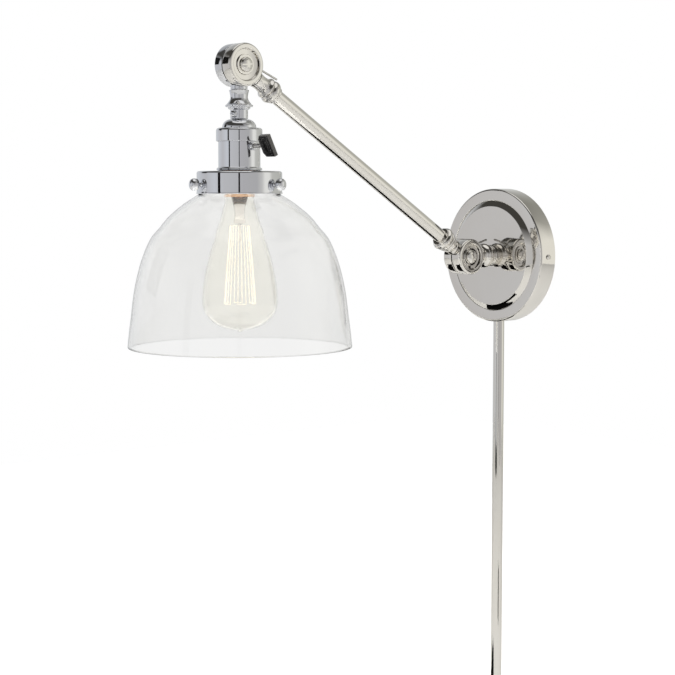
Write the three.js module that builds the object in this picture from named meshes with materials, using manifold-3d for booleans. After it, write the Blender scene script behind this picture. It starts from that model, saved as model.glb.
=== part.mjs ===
// Swing arm wall sconce with a clear glass bowl shade and a rigid cord cover.
// Millimetres. +Z is up, the wall is the plane y = 0 and the lamp reaches out towards -Y.
// The origin is the middle of the mounting bracket's back face.

import * as THREE from 'three';
import { mergeVertices } from 'three/addons/utils/BufferGeometryUtils.js';
import Module from 'manifold-3d';

const wasm = await Module();
wasm.setup();

// ---------- Driving sizes ----------

const gap = 0.3;                  // between pieces that seat, screw or turn on each other

// Canopy on the wall
const canopyRadius = 63.5;
const canopyDepth = 19;
const canopyWall = 1.2;
const canopyEdgeRound = 1;
const raisedRadius = 47.2;        // flat raised middle
const raisedHeight = 3;
const raisedSlope = 5;            // width of the sloping step round it

// Bracket behind the canopy
const bracketWidth = 24;
const bracketSheet = 2;
const bracketTab = 14;            // how far the two end tabs reach forward
const bracketInset = 4;           // from the canopy's outside to a tab
const slotLength = 12;
const slotWidth = 4.5;
const sideScrewRadius = 1.5;
const sideScrewHeadRadius = 2.4;
const sideScrewHeadHeight = 1.6;
const sideScrewLength = 9;
const groundScrewRadius = 1.4;
const groundScrewOffset = 14;

// Threaded nipple and swivel neck
const nippleRadius = 5;
const nippleBore = 3.8;
const nippleInside = 12;          // reach into the canopy, behind its face
const nippleOutside = 7;          // reach into the neck
const nutWidth = 3.5;             // nut corners past the nipple's thread
const nippleNutHeight = 5;
const neckReach = 35.4;           // canopy face to wall pivot
const neckBallRadius = 11.5;
const neckFlangeRadius = 10;
const neckWaistRadius = 7.5;

// Cord cover
const coverRadius = 5.25;
const coverWall = 1;
const coverLength = 457;          // below the canopy
const coverInside = 6.5;          // reach into the canopy
const coverNutWidth = 2.35;       // nut corners past the cover tube
const coverNutHeight = 4;
const bushingHeight = 2;
const bushingPlug = 8;
const bushingBore = 3.25;

// Knuckle joints
const wallKnuckleRadius = 16.5;
const headKnuckleRadius = 18;
const knuckleHalfWidth = 11;      // middle plane to outer face
const knuckleSeam = 0.6;          // half of the gap between the two halves
const knuckleRim = 4.5;           // flat ring round the dished face
const dishDepth = 2.6;
const blockRadius = 7.2;          // round root that carries the neck
const blockReach = 2.5;           // past the knuckle's edge
const stubRadius = 5;
const stubLength = 8;
const pivotRadius = 2.9;
const pivotHeadRadius = 6.2;
const pivotHeadHeight = 3.2;
const washerRadius = 8.6;
const washerSheet = 0.8;
const leverSheet = 0.6;
const leverPinRadius = 0.9;
const wallLeverPin = 17.4;        // length of the pin
const wallLeverAngle = 38;        // degrees above the line to the wall
const wallLeverBend = 23;         // the pin leans back towards that line
const headLeverPin = 23.8;
const headLeverAngle = 28;        // degrees above the line of the arm
const headLeverBend = 19;

// Arm
const armSpan = 313.4;            // pivot to pivot
const armRise = 32.2;             // degrees above level
const armRadius = 6.35;
const armWall = 1;
const armSocket = 7;              // reach of the tube into each collar
const cableRadius = 2.4;

// Stem and lamp socket, measured down from the head pivot
const stemLength = 24;
const stemRadius = 7.5;
const stemFlareRadius = 11.7;
const stemThreadRadius = 4.8;
const stemThread = 5;
const stemBore = 3.2;
const setScrewAngle = -70;        // degrees round the stem from +X
const setScrewRadius = 1.3;
const setScrewHeadRadius = 3.1;
const domeRadius = 14.4;
const domeHeight = 7;
const capRadius = 19.5;
const capSkirt = 11.5;
const capSheet = 1;
const shellRadius = 17.7;
const shellSheet = 0.8;
const shellShow = 24.5;           // below the cap
const shellInCap = 6;
const shellBeadRadius = 19.3;
const shellBeadHeight = 2.6;
const linerSheet = 0.8;
const bodyLength = 19;
const screwShellRadius = 14.2;
const screwShellSheet = 0.5;
const screwShellLength = 28;
const leadRadius = 1;
const terminalOffset = 7;
const terminalRadius = 2.2;

// Turn key
const keyDrop = 4;                // below the cap's lower edge
const keyShaftRadius = 1.9;
const keyStart = 9;               // from the socket axis
const keyPaddleStart = 31;
const keyPaddleWidth = 14;
const keyPaddleHeight = 19;
const keyPaddleSheet = 3.4;
const keyTurn = 26;               // degrees from upright
const keyBushingRadius = 3.6;

// Shade holder, thumb screws and glass
const holderRadius = 36.4;
const holderDepth = 19.4;
const holderSheet = 1.4;
const holderEdgeRound = 1.6;
const sleeveLength = 16;
const sleeveWall = 2.7;
const ringNutHeight = 3.6;
const ringNutWidth = 4.4;
const thumbCount = 3;
const thumbFirstAngle = 18;       // degrees round the holder from +X
const thumbDrop = 11.3;           // below the holder's top
const thumbShankRadius = 1.7;
const thumbHeadRadius = 5.1;
const thumbHeadLength = 8;
const thumbStandOff = 1.2;        // head from the holder's wall
const glassSheet = 2.4;
const glassLipSpace = 2.2;        // between the lip and the holder's wall
const glassLip = 2.2;             // how far the lip stands out past the neck
const glassLipHeight = 3;
const glassRimRadius = 95;
const glassDrop = 129.4;          // holder's lower edge to the rim

// Bulb
const bulbBaseRadius = 13.1;
const bulbBaseLength = 25;
const bulbBaseInset = 2.3;        // base top above the holder's top
const bulbGlassRadius = 32;
const bulbGlassLength = 113;
const bulbWidest = 0.7;           // share of the length at which it is widest
const bulbSheet = 0.8;
const mountRadius = 5.6;
const mountLength = 22;
const filamentPins = 6;           // hairpins in the cage
const filamentLength = 66;
const filamentTopRadius = 8;
const filamentBottomRadius = 14;
const filamentRadius = 0.4;

// ---------- Places worked out from the sizes ----------

const raisedFace = canopyDepth + raisedHeight;
const wallPivotOut = raisedFace + neckReach;
const rimMiddle = canopyDepth / 2;
const slant = THREE.MathUtils.degToRad(armRise);
const knuckleBore = pivotRadius + gap;
const stemTop = headKnuckleRadius + blockReach + gap;
const capTop = stemTop + stemLength + gap;
const capShelf = capTop + domeHeight;
const capBottom = capShelf + capSkirt;
const keyLevel = capBottom + keyDrop;
const shellTop = capBottom - shellInCap;
const shellBottom = capBottom + shellShow;
const holderTop = shellBottom + gap;
const holderBottom = holderTop + holderDepth;
const thumbLevel = holderTop + thumbDrop;
const rimLevel = holderBottom + glassDrop;
const bulbTop = holderTop - bulbBaseInset;
const nippleNutRadius = nippleRadius + nutWidth;
const coverNutRadius = coverRadius + coverNutWidth;
const holderInner = holderRadius - holderSheet;
const glassNeckRadius = holderInner - glassLipSpace - glassLip;
const bulbGlassTop = bulbTop + bulbBaseLength - 4;
const bulbTip = bulbGlassTop + 4 + bulbGlassLength;

// ---------- Finishes ----------

const finish = (color, roughness, metalness, extra = {}) =>
  new THREE.MeshStandardMaterial({ color, roughness, metalness, ...extra });
const nickel = () => finish(0xc9c6bf, 0.12, 1);
const steel = () => finish(0xa9a9a6, 0.35, 1);
const brass = () => finish(0xc79a52, 0.3, 1);
const blackPlastic = () => finish(0x17161a, 0.45, 0);
const insulation = () => finish(0x3a3735, 0.8, 0);
const fibre = () => finish(0x6d5a45, 0.9, 0);
const ceramic = () => finish(0xe8e3d8, 0.55, 0);
const clearGlass = () => finish(0xf4f7f6, 0.03, 0, { transparent: true, opacity: 0.3 });
const amberGlass = () => finish(0xf3dfae, 0.05, 0, { transparent: true, opacity: 0.45 });
const filamentWire = () => finish(0xffb45a, 0.5, 0.4);
const greenPaint = () => finish(0x3f7d4a, 0.45, 0.2);

// ---------- Shape helpers ----------

// Merge shared corners, drop collapsed triangles and face every triangle outwards.
function closed(geometry) {
  const plain = geometry.clone();
  plain.deleteAttribute('normal');
  plain.deleteAttribute('uv');
  const merged = mergeVertices(plain, 1e-4);
  const place = merged.attributes.position;
  const corners = [new THREE.Vector3(), new THREE.Vector3(), new THREE.Vector3()];
  const kept = [];
  let volume = 0;
  for (let i = 0; i < merged.index.count; i += 3) {
    const tri = [0, 1, 2].map((k) => merged.index.getX(i + k));
    if (new Set(tri).size < 3) continue;
    tri.forEach((v, k) => corners[k].fromBufferAttribute(place, v));
    volume += corners[0].dot(corners[1].clone().cross(corners[2]));
    kept.push(tri);
  }
  merged.setIndex(kept.flatMap(([a, b, c]) => (volume < 0 ? [a, c, b] : [a, b, c])));
  return merged;
}

function toSolid(geometry) {
  const shape = closed(geometry);
  return new wasm.Manifold(new wasm.Mesh({
    numProp: 3,
    vertProperties: Float32Array.from(shape.attributes.position.array),
    triVerts: Uint32Array.from(shape.index.array),
  }));
}

function toGeometry(solid) {
  const mesh = solid.getMesh();
  const geometry = new THREE.BufferGeometry();
  geometry.setAttribute('position', new THREE.BufferAttribute(Float32Array.from(mesh.vertProperties), 3));
  geometry.setIndex(Array.from(mesh.triVerts));
  return geometry;
}

const join = (...shapes) => toGeometry(shapes.map(toSolid).reduce((a, b) => a.add(b)));
const cut = (shape, ...tools) =>
  toGeometry(tools.map(toSolid).reduce((left, tool) => left.subtract(tool), toSolid(shape)));

// A turned shape about local Y from [radius, height] points that start and end on the axis.
function turned(outline, segments = 16) {
  return closed(new THREE.LatheGeometry(outline.map(([r, h]) => new THREE.Vector2(r, h)), segments));
}

// A turned ring or tube: its outline closes on itself.
const turnedRing = (outline, segments = 16) => turned([...outline, outline[0]], segments);

const tube = (outer, inner, start, end, segments = 16) =>
  turnedRing([[inner, start], [outer, start], [outer, end], [inner, end]], segments);

const rod = (radius, start, end, segments = 12) =>
  turned([[0, start], [radius, start], [radius, end], [0, end]], segments);

// Points of an arc about [centreR, centreH], in degrees, both ends included.
function arc(centreR, centreH, radius, from, to, steps) {
  return Array.from({ length: steps + 1 }, (_, i) => {
    const angle = THREE.MathUtils.degToRad(from + ((to - from) * i) / steps);
    return [centreR + radius * Math.cos(angle), centreH + radius * Math.sin(angle)];
  });
}

const alongX = (geometry) => geometry.clone().rotateZ(-Math.PI / 2);
const alongZ = (geometry) => geometry.clone().rotateX(Math.PI / 2);
const moved = (geometry, x, y, z) => geometry.clone().translate(x, y, z);

// A hexagon nut about local Y, with its hole.
function hexNut(radius, bore, start, end) {
  const blank = new THREE.CylinderGeometry(radius, radius, end - start, 6).translate(0, (start + end) / 2, 0);
  return cut(blank, rod(bore, start - 1, end + 1));
}

// A round wire along a smooth curve through the given points.
function wire(points, radius, steps, sides = 8) {
  const outline = new THREE.Shape();
  for (let i = 0; i < sides; i += 1) {
    const angle = (2 * Math.PI * i) / sides;
    const corner = [radius * Math.cos(angle), radius * Math.sin(angle)];
    if (i === 0) outline.moveTo(...corner);
    else outline.lineTo(...corner);
  }
  const path = new THREE.CatmullRomCurve3(points.map((p) => new THREE.Vector3(...p)));
  return new THREE.ExtrudeGeometry(outline, { steps, extrudePath: path, bevelEnabled: false });
}

function piece(parent, name, geometry, material, { place = [0, 0, 0], turn = [0, 0, 0] } = {}) {
  const mesh = new THREE.Mesh(closed(geometry), material);
  mesh.name = name;
  mesh.position.set(...place);
  mesh.rotation.set(...turn);
  parent.add(mesh);
  return mesh;
}

function subgroup(parent, place, turnX) {
  const group = new THREE.Group();
  group.position.set(...place);
  group.rotation.x = turnX;
  parent.add(group);
  return group;
}

// ---------- Groups ----------

const sconce = new THREE.Group();
const outward = subgroup(sconce, [0, 0, 0], Math.PI);                      // local +Y leaves the wall
const wallPivot = subgroup(sconce, [0, -wallPivotOut, 0], 0);
const arm = subgroup(sconce, [0, -wallPivotOut, 0], Math.PI - slant);      // local +Y runs up the arm
const armEnd = subgroup(arm, [0, armSpan, 0], Math.PI);                    // local +Y runs back down it
const headPivot = subgroup(armEnd, [0, 0, 0], slant);
const drop = subgroup(headPivot, [0, 0, 0], -Math.PI / 2);                 // local +Y hangs down

// ---------- Bracket, canopy and its fixings ----------

const tabOutside = canopyRadius - bracketInset;
const bracketOutline = new THREE.Shape([
  [-tabOutside, 0], [tabOutside, 0], [tabOutside, -bracketTab], [tabOutside - bracketSheet, -bracketTab],
  [tabOutside - bracketSheet, -bracketSheet], [bracketSheet - tabOutside, -bracketSheet],
  [bracketSheet - tabOutside, -bracketTab], [-tabOutside, -bracketTab],
].map(([x, y]) => new THREE.Vector2(x, y)));
const bracketBlank = new THREE.ExtrudeGeometry(bracketOutline, { depth: bracketWidth, bevelEnabled: false })
  .translate(0, 0, -bracketWidth / 2);
const slotCentre = tabOutside / 2;
const slotTools = [-1, 1].flatMap((side) => [
  new THREE.BoxGeometry(slotLength, 4 * bracketSheet, slotWidth).translate(side * slotCentre, 0, 0),
  moved(rod(slotWidth / 2, -4, 4), side * (slotCentre - slotLength / 2), 0, 0),
  moved(rod(slotWidth / 2, -4, 4), side * (slotCentre + slotLength / 2), 0, 0),
]);
const sideScrewHole = alongX(rod(sideScrewRadius + gap, -canopyRadius - 5, canopyRadius + 5));
const tabHole = moved(sideScrewHole, 0, -rimMiddle, 0);
const groundHole = moved(rod(groundScrewRadius + gap, -4, 4), groundScrewOffset, 0, 0);
piece(sconce, 'mounting_bracket', cut(bracketBlank, ...slotTools, tabHole, groundHole), steel());

const groundHead = turned([[0, 0], [groundScrewRadius, 0], [groundScrewRadius, bracketSheet - 0.2 + gap],
  [3.6, bracketSheet - 0.2 + gap], [3.6, bracketSheet + 2.2], [2.4, bracketSheet + 3],
  [0, bracketSheet + 3]], 16);
const groundSlot = new THREE.BoxGeometry(9, 1.6, 0.9).translate(0, bracketSheet + 3, 0);
piece(outward, 'ground_screw', cut(groundHead, groundSlot), greenPaint(),
  { place: [groundScrewOffset, 0.2, 0] });

const innerRadius = canopyRadius - canopyWall;
const roundCorner = arc(canopyRadius - canopyEdgeRound, canopyDepth - canopyEdgeRound, canopyEdgeRound,
  0, 90, 2);
const canopyShell = turnedRing([
  [canopyRadius, 0], ...roundCorner, [raisedRadius + raisedSlope, canopyDepth],
  [raisedRadius + 0.4, raisedFace - 0.4], [raisedRadius - 0.4, raisedFace], [nippleRadius + gap, raisedFace],
  [nippleRadius + gap, raisedFace - canopyWall], [raisedRadius - 1, raisedFace - canopyWall],
  [raisedRadius + raisedSlope - 1, canopyDepth - canopyWall], [innerRadius, canopyDepth - canopyWall],
  [innerRadius, 0],
], 48);
const rimHoles = moved(sideScrewHole, 0, rimMiddle, 0);
const coverHole = moved(alongZ(rod(coverRadius + gap, 0, 2 * canopyRadius, 16)), 0, rimMiddle, 0);
piece(outward, 'canopy', cut(canopyShell, rimHoles, coverHole), nickel());

const sideScrewSeat = canopyRadius + gap;
const sideScrewFoot = canopyRadius - sideScrewLength;
const sideScrewHead = arc(0, sideScrewSeat, sideScrewHeadRadius, 0, 90, 3)
  .map(([r, h]) => [r, sideScrewSeat + ((h - sideScrewSeat) * sideScrewHeadHeight) / sideScrewHeadRadius]);
const sideScrew = turned([[0, sideScrewFoot], [sideScrewRadius, sideScrewFoot],
  [sideScrewRadius, sideScrewSeat], ...sideScrewHead], 16);
for (const [name, side] of [['canopy_screw_right', 1], ['canopy_screw_left', -1]]) {
  piece(sconce, name, sideScrew, nickel(), { place: [0, -rimMiddle, 0], turn: [0, 0, -side * Math.PI / 2] });
}

piece(outward, 'threaded_nipple', tube(nippleRadius, nippleBore, raisedFace - nippleInside,
  raisedFace + nippleOutside), steel());
const nutFace = raisedFace - canopyWall - gap;
piece(outward, 'nipple_nut', hexNut(nippleNutRadius, nippleRadius + gap, nutFace - nippleNutHeight, nutFace),
  steel());

// ---------- Cord cover ----------

const coverEnd = canopyRadius + coverLength;
const coverInner = coverRadius - coverWall;
const below = subgroup(sconce, [0, -rimMiddle, 0], -Math.PI / 2);          // local +Y points down
piece(below, 'cord_cover_tube', tube(coverRadius, coverInner, canopyRadius - coverInside, coverEnd),
  nickel());
const coverNutFace = Math.sqrt(innerRadius ** 2 - coverNutRadius ** 2) - gap;
piece(below, 'cord_cover_nut', hexNut(coverNutRadius, coverRadius + gap, coverNutFace - coverNutHeight,
  coverNutFace), steel(), { turn: [0, Math.PI / 6, 0] });
piece(below, 'cord_cover_bushing', turnedRing([
  [bushingBore, coverEnd - bushingPlug], [coverInner - gap, coverEnd - bushingPlug],
  [coverInner - gap, coverEnd + gap], [coverRadius, coverEnd + gap],
  [coverRadius, coverEnd + gap + bushingHeight - 0.6], [coverRadius - 0.6, coverEnd + gap + bushingHeight],
  [bushingBore, coverEnd + gap + bushingHeight],
]), blackPlastic());

// The lamp's own cable, from the top of the cord cover into the nipple.
const cableTurn = raisedFace - nippleInside;
const canopyCable = wire([
  [0, -rimMiddle, coverInside + 4 - canopyRadius], [0, -rimMiddle, -canopyRadius / 2],
  [0, -cableTurn / 2 - 1, -nippleNutRadius - 4], [0, -cableTurn / 2, -cableRadius - 1],
  [0, -cableTurn + 1.2, -0.2], [0, -cableTurn - 3, 0], [0, -raisedFace - nippleOutside, 0],
], cableRadius, 18);
piece(sconce, 'canopy_cable', canopyCable, insulation());

// ---------- Swivel neck ----------

const neckEnd = wallPivotOut - wallKnuckleRadius - blockReach - gap;
const ballCentre = raisedFace + 9;
piece(outward, 'swivel_neck', turnedRing([
  [nippleRadius + gap, raisedFace + gap], [neckFlangeRadius, raisedFace + gap],
  [neckFlangeRadius, raisedFace + 1.4], [neckFlangeRadius - 1.2, raisedFace + 1.8],
  [neckFlangeRadius - 1.2, raisedFace + 2.2], [neckFlangeRadius, raisedFace + 2.6],
  [neckFlangeRadius, raisedFace + 3.6], [neckFlangeRadius - 1, raisedFace + 4.2],
  ...arc(neckBallRadius - 5.6, ballCentre, 5.6, -40, 70, 4),
  [neckWaistRadius, neckEnd - 1.2], [neckWaistRadius, neckEnd], [stubRadius + gap, neckEnd],
], 24), nickel());

// ---------- Knuckles ----------

// One half of a knuckle about local X, with its root and stub along local +Y.
// side = 1 is the half towards +X and side = -1 the half towards -X.
function knuckleHalf(radius, side) {
  const dishRadius = radius - knuckleRim;
  const dishFloor = knuckleHalfWidth - dishDepth;
  const disc = alongX(turnedRing([
    [knuckleBore, knuckleSeam], [radius - 0.6, knuckleSeam], [radius, knuckleSeam + 0.6],
    [radius, knuckleHalfWidth - 1.6], [radius - 1.6, knuckleHalfWidth], [dishRadius, knuckleHalfWidth],
    [dishRadius - 1.4, dishFloor], [knuckleBore, dishFloor],
  ], 28));
  const blockEnd = radius + blockReach;
  const root = turned([[0, 0], [blockRadius, 0], [blockRadius, blockEnd], [stubRadius, blockEnd],
    [stubRadius, blockEnd + stubLength], [0, blockEnd + stubLength]]);
  const otherHalf = alongX(rod(radius + gap, -knuckleHalfWidth, knuckleSeam, 28));
  const bore = alongX(rod(knuckleBore, -knuckleHalfWidth, knuckleHalfWidth));
  const half = cut(join(disc, cut(root, otherHalf)), bore);
  return side > 0 ? half : half.rotateY(Math.PI);
}

// The slotted screw through a knuckle, with its washer under the head and its nut behind.
function knuckleScrews(parent, prefix) {
  const seat = knuckleHalfWidth - dishDepth + gap;
  const headFoot = seat + washerSheet + gap;
  const nutEnd = seat + 4;
  const dome = arc(0, 0, pivotHeadRadius, 0, 90, 3)
    .map(([r, h]) => [r, headFoot + 1 + (h * (pivotHeadHeight - 1)) / pivotHeadRadius]);
  const screw = alongX(turned([[0, -nutEnd + 1], [pivotRadius, -nutEnd + 1], [pivotRadius, headFoot],
    [pivotHeadRadius, headFoot], ...dome]));
  const slot = new THREE.BoxGeometry(2, 1.2, 3 * pivotHeadRadius).translate(headFoot + pivotHeadHeight, 0, 0);
  piece(parent, `${prefix}_pivot_screw`, cut(screw, slot), nickel());
  piece(parent, `${prefix}_pivot_washer`, alongX(tube(washerRadius, knuckleBore, seat, seat + washerSheet)),
    nickel());
  piece(parent, `${prefix}_pivot_nut`, alongX(hexNut(pivotHeadRadius, knuckleBore, -nutEnd, -seat)),
    nickel());
}

// The thin tension washer between two halves, with the leaning pin that turns it.
function tensionLever(radius, pinLength, pinBend) {
  const ring = alongX(tube(radius - 3, knuckleBore, -leverSheet / 2, leverSheet / 2, 20));
  const strip = new THREE.BoxGeometry(leverSheet, 6, 2 * leverPinRadius).translate(0, radius - 1.5, 0);
  const pin = rod(leverPinRadius, 0, pinLength, 8).rotateX(THREE.MathUtils.degToRad(-pinBend));
  return join(ring, strip, moved(pin, 0, radius + gap + 0.6, 0));
}

piece(wallPivot, 'wall_knuckle_front', knuckleHalf(wallKnuckleRadius, 1), nickel());
knuckleScrews(wallPivot, 'wall');
piece(wallPivot, 'wall_tension_lever', tensionLever(wallKnuckleRadius, wallLeverPin, wallLeverBend), steel(),
  { turn: [THREE.MathUtils.degToRad(wallLeverAngle), 0, 0] });
piece(arm, 'wall_knuckle_back', knuckleHalf(wallKnuckleRadius, -1), nickel());
piece(armEnd, 'head_knuckle_front', knuckleHalf(headKnuckleRadius, 1), nickel());
knuckleScrews(armEnd, 'head');
piece(armEnd, 'head_tension_lever', tensionLever(headKnuckleRadius, headLeverPin, headLeverBend), steel(),
  { turn: [THREE.MathUtils.degToRad(headLeverAngle), 0, 0] });
piece(drop, 'head_knuckle_back', knuckleHalf(headKnuckleRadius, -1), nickel());

// ---------- Arm ----------

const wallCollarStart = wallKnuckleRadius + blockReach + gap;
const wallCollarLength = 17;
const headCollarStart = headKnuckleRadius + blockReach + gap;
const headCollarLength = 25;
const bead = armRadius + 4.6;     // widest radius of a collar

// The stepped hole through a collar: stub, cable passage, arm tube.
const collarBore = (start, length) => [
  [armRadius + gap, start + length], [armRadius + gap, start + length - armSocket - gap],
  [cableRadius + 0.6, start + length - armSocket - gap], [cableRadius + 0.6, start + stubLength],
  [stubRadius + gap, start + stubLength], [stubRadius + gap, start],
];
piece(arm, 'arm_collar_wall', turnedRing([
  [blockRadius + 0.4, wallCollarStart], [blockRadius + 1.8, wallCollarStart + 6.4],
  [blockRadius + 1, wallCollarStart + 7], ...arc(bead - 2.2, wallCollarStart + 8.6, 1.2, -60, 60, 2),
  [bead - 2.4, wallCollarStart + 10.2], ...arc(bead - 2.4, wallCollarStart + 13.2, 2.4, -70, 70, 3),
  [bead - 2, wallCollarStart + wallCollarLength], ...collarBore(wallCollarStart, wallCollarLength),
], 20), nickel());
piece(armEnd, 'arm_collar_head', turnedRing([
  [blockRadius, headCollarStart], [blockRadius - 0.6, headCollarStart + 5],
  [blockRadius, headCollarStart + 10],
  [bead - 2, headCollarStart + 12.4], [bead - 1.6, headCollarStart + 14],
  ...arc(bead - 5.2, headCollarStart + 19.4, 4.4, -50, 70, 4),
  [armRadius + 1.4, headCollarStart + headCollarLength], ...collarBore(headCollarStart, headCollarLength),
], 20), nickel());

const tubeStart = wallCollarStart + wallCollarLength - armSocket;
const tubeEnd = armSpan - headCollarStart - headCollarLength + armSocket;
piece(arm, 'arm_tube', tube(armRadius, armRadius - armWall, tubeStart, tubeEnd, 20), nickel());
piece(arm, 'arm_cable', rod(cableRadius, wallCollarStart + stubLength + gap,
  armSpan - headCollarStart - stubLength - gap, 8), insulation());

// ---------- Stem ----------

const stemEnd = stemTop + stemLength;
const screwLevel = stemEnd - 4;
const stemBlank = turnedRing([
  [blockRadius + 1.2, stemTop], [blockRadius + 0.2, stemTop + 4.5], [blockRadius + 0.8, stemTop + 8],
  [stemFlareRadius, stemTop + 12.6], [stemFlareRadius, stemTop + 14], [stemRadius + 1.4, stemTop + 15.6],
  [stemRadius, stemTop + 17.4], [stemRadius, stemEnd], [stemThreadRadius, stemEnd],
  [stemThreadRadius, stemEnd + stemThread], [stemBore, stemEnd + stemThread],
  [stemBore, stemTop + stubLength + gap], [stubRadius + gap, stemTop + stubLength + gap],
  [stubRadius + gap, stemTop],
], 20);
const setScrewTurn = [0, THREE.MathUtils.degToRad(-setScrewAngle), -Math.PI / 2];
const screwHole = rod(setScrewRadius + gap, stemBore - 1, stemRadius + 4, 12).rotateZ(-Math.PI / 2)
  .rotateY(THREE.MathUtils.degToRad(-setScrewAngle)).translate(0, screwLevel, 0);
piece(drop, 'head_stem', cut(stemBlank, screwHole), nickel());
const setHead = arc(0, stemRadius + gap + 1.4, setScrewHeadRadius, 0, 90, 3)
  .map(([r, h]) => [r, stemRadius + gap + 1.4 + (h - stemRadius - gap - 1.4) * 0.6]);
piece(drop, 'stem_set_screw', turned([[0, stemBore + 0.8], [setScrewRadius, stemBore + 0.8],
  [setScrewRadius, stemRadius + gap + 0.4], [setScrewHeadRadius, stemRadius + gap + 0.4], ...setHead], 16),
nickel(), { place: [0, screwLevel, 0], turn: setScrewTurn });

// ---------- Lamp socket ----------

const threadHole = stemThreadRadius + gap;
const domeArc = (shrink) => [0, 1, 2, 3].map((i) => {
  const angle = (Math.PI / 2) * (1 - i / 3);
  return [stemRadius - 0.5 + (domeRadius - stemRadius + 0.5 - shrink) * Math.cos(angle),
    capShelf - (domeHeight - shrink) * Math.sin(angle)];
});
piece(drop, 'socket_cap', turnedRing([
  [threadHole, capTop], ...domeArc(0), [capRadius - 0.8, capShelf + 0.2], [capRadius, capShelf + 1],
  [capRadius, capBottom], [capRadius - capSheet, capBottom],
  [capRadius - capSheet, capShelf + 0.4 + capSheet], [domeRadius - capSheet, capShelf + capSheet],
  ...domeArc(capSheet).reverse(), [threadHole, capTop + capSheet],
], 28), nickel());
piece(drop, 'stem_locknut', hexNut(threadHole + 2.4, threadHole, capTop + capSheet + gap,
  capTop + capSheet + gap + 2.8), steel());

const keyHoleTool = (radius) => moved(alongX(rod(radius, keyStart, capRadius + 5)), 0, keyLevel, 0);
const shellInner = shellRadius - shellSheet;
piece(drop, 'socket_shell', cut(turnedRing([
  [shellRadius, shellTop], [shellRadius, shellBottom - shellBeadHeight],
  [shellBeadRadius, shellBottom - shellBeadHeight + 0.8], [shellBeadRadius, shellBottom],
  [shellInner, shellBottom], [shellInner, shellTop],
], 28), keyHoleTool(keyBushingRadius - 0.8 + gap)), nickel());
const linerOuter = shellInner - gap;
piece(drop, 'socket_liner', cut(tube(linerOuter, linerOuter - linerSheet, shellTop, shellBottom - 1, 24),
  keyHoleTool(keyShaftRadius + gap)), fibre());
const bodyRadius = linerOuter - linerSheet - gap;
const bodyTop = capShelf + capSheet + gap;
const bodyBottom = bodyTop + bodyLength;
piece(drop, 'socket_body', cut(rod(bodyRadius, bodyTop, bodyBottom, 20),
  keyHoleTool(keyShaftRadius + gap)), ceramic());
piece(drop, 'socket_screw_shell', tube(screwShellRadius, screwShellRadius - screwShellSheet, bodyBottom + gap,
  bodyBottom + gap + screwShellLength, 24), brass());
piece(drop, 'socket_centre_contact', turned([[0, bodyBottom + gap], [3.4, bodyBottom + gap],
  [3.4, bodyBottom + 1], [1.8, bodyBottom + 3], [1.8, bulbTop - 4], [0, bulbTop - 4]], 12), brass());
for (const [name, side] of [['hot', 1], ['neutral', -1]]) {
  const screwTop = bodyTop - gap - 1.6;
  piece(drop, `${name}_terminal_screw`, rod(terminalRadius, screwTop, bodyTop - gap, 12), brass(),
    { place: [side * terminalOffset, 0, 0] });
  piece(drop, `${name}_lead`, wire([
    [side * 1.5, stemTop + stubLength + 1, 0], [side * 1.5, stemEnd, 0],
    [side * 1.5, stemEnd + stemThread, 0], [side * 2.6, stemEnd + stemThread + 1.2, 0],
    [side * (terminalOffset - terminalRadius - 1.6), screwTop + 0.6, 0],
  ], leadRadius, 10, 6), insulation());
}

// ---------- Turn key ----------

piece(drop, 'key_bushing', turnedRing([
  [keyShaftRadius + gap, linerOuter + gap], [keyBushingRadius - 0.8, linerOuter + gap],
  [keyBushingRadius - 0.8, shellRadius + gap], [keyBushingRadius, shellRadius + gap],
  [keyBushingRadius, shellRadius + 3], [keyBushingRadius - 0.6, shellRadius + 3.6],
  [keyShaftRadius + gap, shellRadius + 3.6],
], 16), nickel(), { place: [0, keyLevel, 0], turn: [0, 0, -Math.PI / 2] });
piece(drop, 'key_shaft', alongX(rod(keyShaftRadius, keyStart + gap, keyPaddleStart - gap)), steel(),
  { place: [0, keyLevel, 0] });
const paddleOutline = new THREE.Shape();
const paddleEdge = 1.2;
paddleOutline.moveTo(0, 4 - keyPaddleHeight / 2);
paddleOutline.lineTo(3, -keyPaddleHeight / 2);
paddleOutline.lineTo(keyPaddleWidth - paddleEdge, -keyPaddleHeight / 2);
paddleOutline.lineTo(keyPaddleWidth, paddleEdge - keyPaddleHeight / 2);
paddleOutline.lineTo(keyPaddleWidth, keyPaddleHeight / 2 - paddleEdge);
paddleOutline.lineTo(keyPaddleWidth - paddleEdge, keyPaddleHeight / 2);
paddleOutline.lineTo(3, keyPaddleHeight / 2);
paddleOutline.lineTo(0, keyPaddleHeight / 2 - 4);
const paddle = new THREE.ExtrudeGeometry(paddleOutline, { depth: keyPaddleSheet, bevelEnabled: false })
  .translate(0, 0, -keyPaddleSheet / 2);
piece(drop, 'key_paddle', paddle, blackPlastic(),
  { place: [keyPaddleStart, keyLevel, 0], turn: [THREE.MathUtils.degToRad(keyTurn), 0, 0] });

// ---------- Shade holder and thumb screws ----------

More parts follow.
